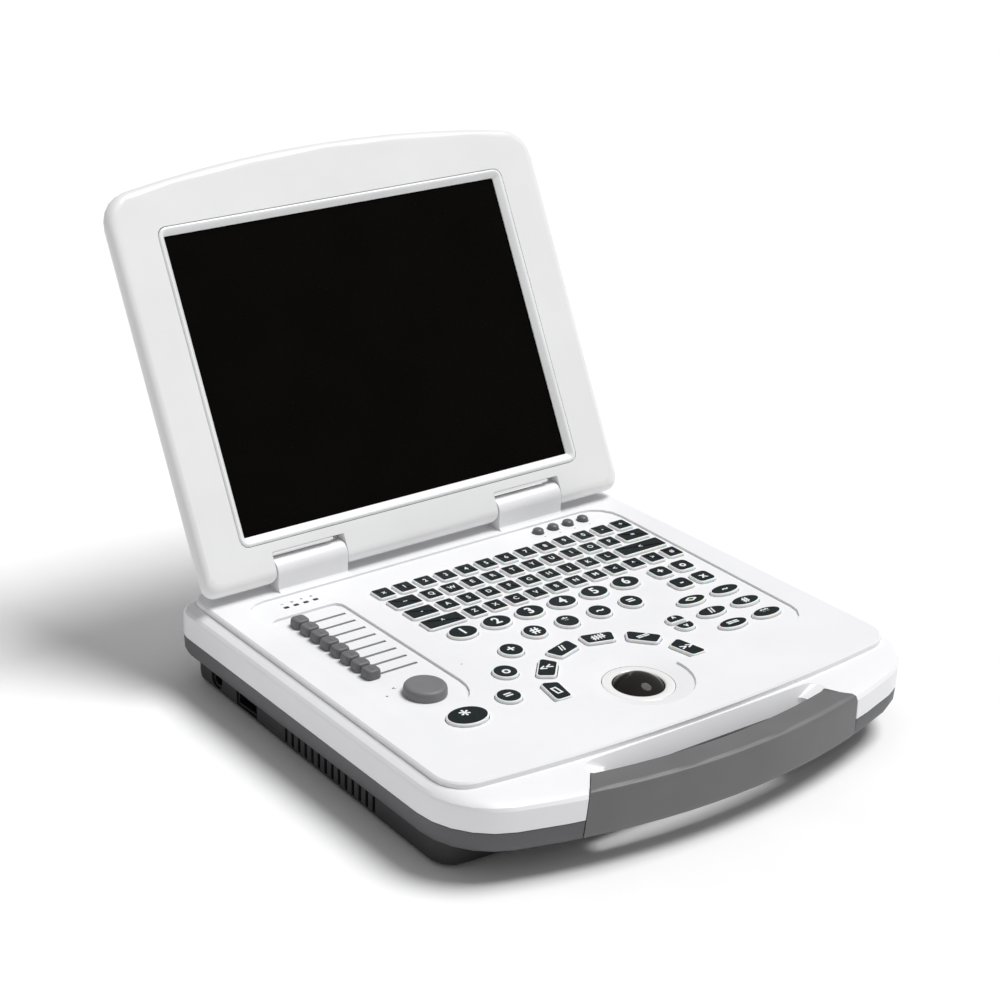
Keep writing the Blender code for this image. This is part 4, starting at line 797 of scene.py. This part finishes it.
@dataclass
class Keyboard:
    """The block of letter keys on one silicone mat."""

    form: KeyForm = KeyForm(top=0.15 * MM, rim=0.6 * MM)
    pitch_x: float = 13.41 * MM
    pitch_y: float = 14.08 * MM
    middle_x: float = 31.8 * MM
    first_y: float = -23.7 * MM
    margin: float = 2.9 * MM
    depth: float = 10.6 * MM
    rows: tuple[tuple[float, ...], ...] = (
        (1,) * 13,
        (1.5,) + (1,) * 10 + (1.5,),
        (1.5,) + (1,) * 9 + (2.5,),
        (2,) + (1,) * 11,
    )
    legends: tuple[str, ...] = ("x1234567890-+", "~QWERTYUIOP=", "-ASDFGHJKL<", "^ZXCVBNM<^>#")

    def pattern(self, unit: float) -> bpy.types.Object:
        """One key of a width in key units, about (0, 0)."""
        outline = round_rectangle(unit * self.pitch_x - self.margin, self.depth, (1.4 * MM,) * 4)
        return self.form.build(f"pattern_{unit}", outline)

    def build(self) -> None:
        """Mould, print and join the letter mat."""
        patterns = {unit: self.pattern(unit) for unit in (1, 1.5, 2, 2.5)}
        pieces: list[bpy.types.Object] = []
        for row, (units, text) in enumerate(zip(self.rows, self.legends)):
            edge = self.middle_x - sum(self.rows[0]) / 2 * self.pitch_x
            y = self.first_y - row * self.pitch_y
            for unit, letter in zip(units, text):
                x = edge + unit * self.pitch_x / 2
                pieces.append(copied(patterns[unit], f"letter_{len(pieces)}", (x, y, 0)))
                pieces.append(self.form.legend(letter, 4.4 * MM, (x, y), 0.08 * MM))
                edge += unit * self.pitch_x
        for pattern in patterns.values():
            discard(pattern)
        low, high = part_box("letter_mat")
        low, high = low - ORIGIN, high - ORIGIN
        plate = brick("plate", low, (high.x, high.y, self.form.foot + 0.05 * MM), 0.3 * MM)
        dress(plate, Surface.SILICONE_WHITE)
        fit(joined("letter_mat_printed", [*pieces, plate]), "body", "key_black", "letter_mat")


@dataclass
class FunctionKeys:
    """The round, oval, square and arc keys with their own plain signs."""

    form: KeyForm = KeyForm()
    plate_bottom: float = -5.9 * MM
    arc_centre_y: float = -165.1 * MM
    arc_radius: float = 43.3 * MM
    arc_angles: tuple[float, ...] = (168, 136.5, 105.5, 74.5, 43.5, 12)

    def centre_keys(self) -> list[tuple[Outline, tuple[float, float], str, float]]:
        """Outline, place, sign and sign size of the ovals and rounds under the letters."""
        ovals = [(ellipse(17 * MM, 13 * MM), (-41.5 * MM + i * 21.48 * MM, -81.6 * MM), text, 8.6 * MM)
                 for i, text in enumerate("123456")]
        rounds = [(ellipse(13.2 * MM, 13.2 * MM), (-10.7 * MM + i * 21.33 * MM, -100.7 * MM), text, 8.5 * MM)
                  for i, text in enumerate("#*~=")]
        return ovals + rounds

    def side_keys(self) -> list[tuple[Outline, tuple[float, float], str, float]]:
        """Outline, place, sign and sign size of the squares and long ovals at the right."""
        square = round_rectangle(12.2 * MM, 11.6 * MM, (3.2 * MM,) * 4)
        squares = [(square, (x * MM, y * MM), text, 7 * MM) for (x, y), text in zip(
            ((90.1, -82.1), (105.3, -82.1), (90.1, -98.4), (105.3, -98.4)), "+o-x")]
        long_oval = ellipse(18.6 * MM, 9.4 * MM)
        places = [(x, y) for y in (-116.7, -132.4, -148.5) for x in (80.7, 104.2)]
        ovals = [(long_oval, (x * MM, y * MM), text, 6.5 * MM)
                 for (x, y), text in zip(places, ("<>", "~", "//", "#", "==", "**"))]
        return squares + ovals

    def mat(self, node: str, keys: list[tuple[Outline, tuple[float, float], str, float]]) -> None:
        """Mould one mat and print its signs.

        Args:
            node: the CAD mat that it stands for.
            keys: outline, place, sign and sign size of each key.
        """
        pieces: list[bpy.types.Object] = []
        for outline, place, text, size in keys:
            pieces.append(self.form.build(f"{node}_{len(pieces)}", moved(outline, place)))
            pieces.append(self.form.legend(text, size, place, 0.22 * MM))
        xs = [x for outline, place, _, _ in keys for x, _ in moved(outline, place)]
        ys = [y for outline, place, _, _ in keys for _, y in moved(outline, place)]
        top = self.form.foot + 0.05 * MM
        plate = brick("plate", (min(xs), min(ys), self.plate_bottom), (max(xs), max(ys), top), 0.3 * MM)
        dress(plate, Surface.SILICONE_WHITE)
        fit(joined(f"{node}_printed", [*pieces, plate]), "body", "key_black", node)

    def arc_outline(self, angle: float) -> Outline:
        """One of the keys that stand in an arc round the trackball."""
        outline: Outline = []
        for along, across in round_rectangle(17.6 * MM, 10 * MM, (2.4 * MM,) * 4):
            turn = math.radians(angle) - along / self.arc_radius
            radius = self.arc_radius + across
            outline.append((radius * math.cos(turn), self.arc_centre_y + radius * math.sin(turn)))
        return outline

    def single(self, node: str, outline: Outline, place: tuple[float, float], text: str, size: float) -> None:
        """Mould one key that is its own piece, print its sign and tie it to its own body."""
        key = self.form.build(f"{node}_moulded", outline)
        legend = self.form.legend(text, size, place, 0.2 * MM)
        fit(joined(f"{node}_printed", [key, legend]), node, "cap_black", node)

    def singles(self) -> None:
        """The arc keys, mode keys, menu keys and the freeze key."""
        for index, (angle, text) in enumerate(zip(self.arc_angles, ("[]", "<<", "//", "##", "==", ">>"))):
            outline = self.arc_outline(angle)
            middle = (self.arc_radius * math.cos(math.radians(angle)),
                      self.arc_centre_y + self.arc_radius * math.sin(math.radians(angle)))
            self.single(f"arc_key_{index + 1}", outline, middle, text, 6.5 * MM)
        modes = ((-33.4, -110.3, "+"), (-50.4, -127.1, "o"), (-64.5, -147.6, "="))
        for index, (x, y, text) in enumerate(modes):
            place = (x * MM, y * MM)
            outline = moved(ellipse(13.2 * MM, 13.2 * MM), place)
            self.single(f"mode_key_{index + 1}", outline, place, text, 8.5 * MM)
        place = (-93.1 * MM, -152.6 * MM)
        self.single("freeze_key", moved(ellipse(22.3 * MM, 17 * MM, 56), place), place, "*", 12 * MM)
        large, small = 4.4 * MM, 1.2 * MM
        rows = (("menu_key_up", -128.6 * MM, (small, small, large, large), "^"),
                ("menu_key_down", -137.8 * MM, (large, large, small, small), "v"))
        for node, y, corners, text in rows:
            outline = moved(round_rectangle(10.8 * MM, 7 * MM, corners), (58.2 * MM, y))
            self.single(node, outline, (58.2 * MM, y), text, 5 * MM)

    def rear_buttons(self) -> None:
        """Four small domed buttons, modelled once and copied."""
        radius, rise = 3.1 * MM, 1.6 * MM
        angles = [math.radians(10 * step) for step in range(1, 9)]
        levels: list[Level] = [(0, 0, 0)]
        levels += [(radius * (1 - math.cos(angle)), rise * math.sin(angle), 0) for angle in angles]
        pattern = raised("button", ellipse(6.2 * MM, 6.2 * MM, 40), self.form.foot, levels)
        softened(pattern, 0)
        dress(pattern, Surface.BUTTON_GREY)
        for index in range(4):
            node = f"rear_button_{index + 1}"
            place = ((68.5 + 10.5 * index) * MM, -5.6 * MM, 0)
            fit(copied(pattern, f"{node}_domed", place), node, "cap_grey", node)
        discard(pattern)

    def build(self) -> None:
        """Build every function key."""
        self.mat("centre_mat", self.centre_keys())
        self.mat("side_mat", self.side_keys())
        self.singles()
        self.rear_buttons()


# ---------------------------------------------------------------- gain controls and marks

@dataclass
class GainControls:
    """Depth-gain sliders, the gain knob and the small marks printed round them."""

    slider_count: int = 8
    pitch: float = 9.08 * MM
    slant: float = 0.029
    first: tuple[float, float] = (-103.4 * MM, -28.0 * MM)
    knob_place: tuple[float, float] = (-93.4 * MM, -119.7 * MM)

    def sliders(self) -> None:
        """Slider caps with a finger ridge, modelled once and copied."""
        outline = round_rectangle(8.6 * MM, 8.3 * MM, (2.6 * MM,) * 4, 4)
        pattern = raised("slider", outline, -2.1 * MM, (
            (0, -1.7 * MM, 0), (0.1 * MM, 0.4 * MM, 0), (0.35 * MM, 1.55 * MM, 0), (0.7 * MM, 2.0 * MM, 0),
            (1.2 * MM, 2.2 * MM, 0), (1.9 * MM, 2.22 * MM, 0)))
        softened(pattern, 0)
        stem = brick("stem", (-2.4 * MM, -0.6 * MM, -6.4 * MM), (2.4 * MM, 0.6 * MM, -1.9 * MM), 0.15 * MM)
        line = brick("line", (-0.25 * MM, -2.2 * MM, 2.1 * MM), (0.25 * MM, 2.2 * MM, 2.34 * MM), 0.08 * MM)
        pattern = joined("slider", [pattern, stem, line])
        dress(pattern, Surface.SLIDER_GREY)
        for index in range(self.slider_count):
            drop = index * self.pitch
            place = (self.first[0] - self.slant * drop, self.first[1] - drop, 0)
            node = f"slider_knob_{index + 1}"
            fit(copied(pattern, f"{node}_cap", place), node, "slider_grey", node)
        discard(pattern)

    def knob(self) -> None:
        """Low round knob with a rounded rim and a shallow hollow top."""
        outline = moved(ellipse(21.7 * MM, 21.7 * MM, 88), self.knob_place)
        knob = raised("knob", outline, -2.2 * MM, (
            (0, -1.9 * MM, 0), (0.1 * MM, 0.4 * MM, 0), (0.4 * MM, 1.5 * MM, 0), (0.9 * MM, 2.1 * MM, 0),
            (1.6 * MM, 2.4 * MM, 0), (2.5 * MM, 2.5 * MM, 0), (3.6 * MM, 2.42 * MM, 0),
            (6.5 * MM, 2.3 * MM, 0)))
        softened(knob, 0)
        stem = raised("stem", moved(ellipse(5.8 * MM, 5.8 * MM, 24), self.knob_place), -9 * MM, (
            (0, -2.3 * MM, 0), (0.2 * MM, -2.1 * MM, 0)))
        softened(stem, 0)
        knob = joined("gain_knob_turned", [knob, stem])
        dress(knob, Surface.KNOB_GREY)
        fit(knob, "gain_knob", "knob_grey", "gain_knob")

    def marks(self) -> None:
        """Small marks printed on the panel beside the lamps, buttons, sliders and knob."""
        panel, floor = -1.19, -2.59
        rows = [(text, 3.2 * MM, (-98.6 + 5.95 * i, -4.6, panel)) for i, text in enumerate("~o+=")]
        rows += [("-", 3.4 * MM, (68.5 + 10.5 * i, -11.6, panel)) for i in range(4)]
        rows += [(".", 4.0 * MM, (72.5, -1.0, panel)), (".", 4.0 * MM, (83, -1.0, panel))]
        rows += [("<", 3.4 * MM, (-103.2, -107.6, floor)), (">", 3.4 * MM, (-83.2, -107.8, floor))]
        rows += [("+", 3.0 * MM, (-110.6, -112.6, floor)), ("-", 3.6 * MM, (-62, -107, panel))]
        signs = []
        for text, size, (x, y, z) in rows:
            signs.append(sign(text, size, (x * MM, y * MM, z * MM), 0.05 * MM))
        marks = joined("panel_marks", signs)
        marks.data.materials.clear()
        dress(marks, Surface.MARK_GREY)
        fit(marks, "body", "cover_white")

    def build(self) -> None:
        """Build the sliders, the knob and the marks."""
        self.sliders()
        self.knob()
        self.marks()


# ---------------------------------------------------------------- trackball

@dataclass
class Trackball:
    """The polished ball and the ring that holds it in."""

    centre: tuple[float, float] = (0.0, -168.1 * MM)
    radius: float = 17 * MM
    centre_z: float = -14.9 * MM

    def ball(self) -> None:
        """A ball of even quads, made from a subdivided block pulled out to a sphere."""
        deselect()
        bpy.ops.mesh.primitive_cube_add(size=2 * self.radius)
        ball = bpy.context.object
        ball.name = "trackball_polished"
        with editing(ball):
            bpy.ops.mesh.subdivide(number_cuts=31)
            bpy.ops.transform.tosphere(value=1)
        for vertex in ball.data.vertices:
            vertex.co = vertex.co.normalized() * self.radius
        ball.data.transform(Matrix.Translation((*self.centre, self.centre_z)))
        softened(ball, 0)
        dress(ball, Surface.BALL_BLACK)
        fit(ball, "trackball", "ball_black", "trackball")

    def ring(self) -> None:
        """The ring, spun from its rounded section."""
        lip = math.sqrt(self.radius ** 2 - (-3.5 * MM - self.centre_z) ** 2) + 0.5 * MM
        outer = lip + 4.9 * MM
        profile = [(outer, -6 * MM), (outer, -3.1 * MM), (outer - 0.3 * MM, -2.8 * MM)]
        profile += [(outer - 1.5 * MM, -2.62 * MM), (lip + 1.9 * MM, -2.6 * MM), (lip + 1.1 * MM, -2.72 * MM)]
        profile += [(lip + 0.45 * MM, -2.95 * MM), (lip + 0.1 * MM, -3.25 * MM), (lip, -3.5 * MM)]
        profile += [(lip + 1.3 * MM, -5 * MM), (lip + 2.1 * MM, -6 * MM)]
        ring = spun("trackball_ring_polished", profile, self.centre)
        softened(ring, 0)
        dress(ring, Surface.BALL_RING)
        fit(ring, "body", "ring_white", "trackball_ring")

    def build(self) -> None:
        """Build the ball and its ring."""
        self.ball()
        self.ring()


# ---------------------------------------------------------------- inside

@dataclass
class Interior:
    """Parts inside the casing, which keep the CAD's shape and get their own finishes."""

    def build(self) -> None:
        """Dress each part in place."""
        rows = (
            ("key_board", Surface.BOARD_GREEN), ("slider_board", Surface.BOARD_GREEN),
            ("main_board", Surface.BOARD_GREEN), ("battery_pack", Surface.BATTERY_WRAP),
            ("gain_encoder", Surface.NICKEL), ("trackball_cup", Surface.SOCKET_BLACK),
            ("fan_frame", Surface.SOCKET_BLACK), ("fan_rotor", Surface.SOCKET_BLACK),
            ("lcd_panel", Surface.STEEL), ("hinge_bracket_left", Surface.STEEL),
            ("hinge_bracket_right", Surface.STEEL), ("hinge_shaft_left", Surface.STEEL),
            ("hinge_shaft_right", Surface.STEEL),
        )
        for node, surface in rows:
            dress(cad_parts[node], surface)
            log.info("%s keeps the frame's shape", node)


# ---------------------------------------------------------------- studio

@dataclass
class Studio:
    """Pale floor, soft lights and the camera."""

    camera_place: tuple[float, float, float] = (-0.7608, -0.9826, 0.5738)
    azimuth: float = -39.356
    elevation: float = 23.486
    roll: float = 2.874
    lens: float = 92.546
    floor_size: float = 12.0
    sun_toward: tuple[float, float, float] = (0.37, -0.13, 0.9)
    sun_spread: float = 28
    sun_power: float = 2.68
    world_strength: float = 0.3

    def floor(self) -> None:
        """A wide pale floor with an even, matt surface."""
        deselect()
        bpy.ops.mesh.primitive_plane_add(size=self.floor_size)
        floor = bpy.context.object
        floor.name = "studio_floor"
        paper = Finish("paper_white_backdrop", "fbfbfb", "f9f9f9", 0.9, Texture.RUBBER, 3 * MM, 0.01 * MM)
        floor.data.materials.append(paper.material())

    def light(self, name: str, toward: Sequence[float], spread: float, power: float) -> None:
        """A soft light from one side.

        Args:
            name: its name.
            toward: the direction from the scanner to the light.
            spread: how wide the light is, in degrees.
            power: its strength.
        """
        lamp = bpy.data.lights.new(name, "SUN")
        lamp.angle = math.radians(spread)
        lamp.energy = power
        holder = bpy.data.objects.new(name, lamp)
        bpy.context.scene.collection.objects.link(holder)
        holder.rotation_euler = Vector(toward).to_track_quat("Z", "Y").to_euler()

    def world(self) -> None:
        """Even white surroundings."""
        world = bpy.data.worlds.new("studio_world")
        world.use_nodes = True
        bpy.context.scene.world = world
        back = world.node_tree.nodes["Background"]
        back.inputs["Color"].default_value = (1.0, 1.0, 1.0, 1.0)
        back.inputs["Strength"].default_value = self.world_strength
        bpy.context.scene.view_settings.view_transform = "Standard"

    def camera(self) -> None:
        """The camera, at its viewing angle and with its slight roll."""
        a, e, r = (math.radians(v) for v in (self.azimuth, self.elevation, self.roll))
        back = Vector((math.sin(a) * math.cos(e), -math.cos(a) * math.cos(e), math.sin(e)))
        right = Vector((0, 0, 1)).cross(back).normalized()
        up = back.cross(right)
        turned_right = right * math.cos(r) + up * math.sin(r)
        turned_up = up * math.cos(r) - right * math.sin(r)
        lens = bpy.data.cameras.new("studio_camera")
        lens.lens = self.lens
        lens.sensor_width = 36
        camera = bpy.data.objects.new("studio_camera", lens)
        bpy.context.scene.collection.objects.link(camera)
        turn = Matrix((turned_right, turned_up, back)).transposed().to_4x4()
        camera.matrix_world = Matrix.Translation(ORIGIN + Vector(self.camera_place)) @ turn
        bpy.context.scene.camera = camera

    def build(self) -> None:
        """Set up the whole studio."""
        self.world()
        self.floor()
        self.light("overhead", self.sun_toward, self.sun_spread, self.sun_power)
        self.camera()


def main() -> None:
    """Build the scanner's looks, assembly by assembly."""
    logging.basicConfig(level=logging.INFO, format="%(name)s: %(message)s")
    for assembly in (Casing(), Lid(), Keyboard(), FunctionKeys(), GainControls(), Trackball(), Interior()):
        log.info("building %s", type(assembly).__name__)
        assembly.build()
    deselect()
    Studio().build()


if __name__ == "__main__":
    main()
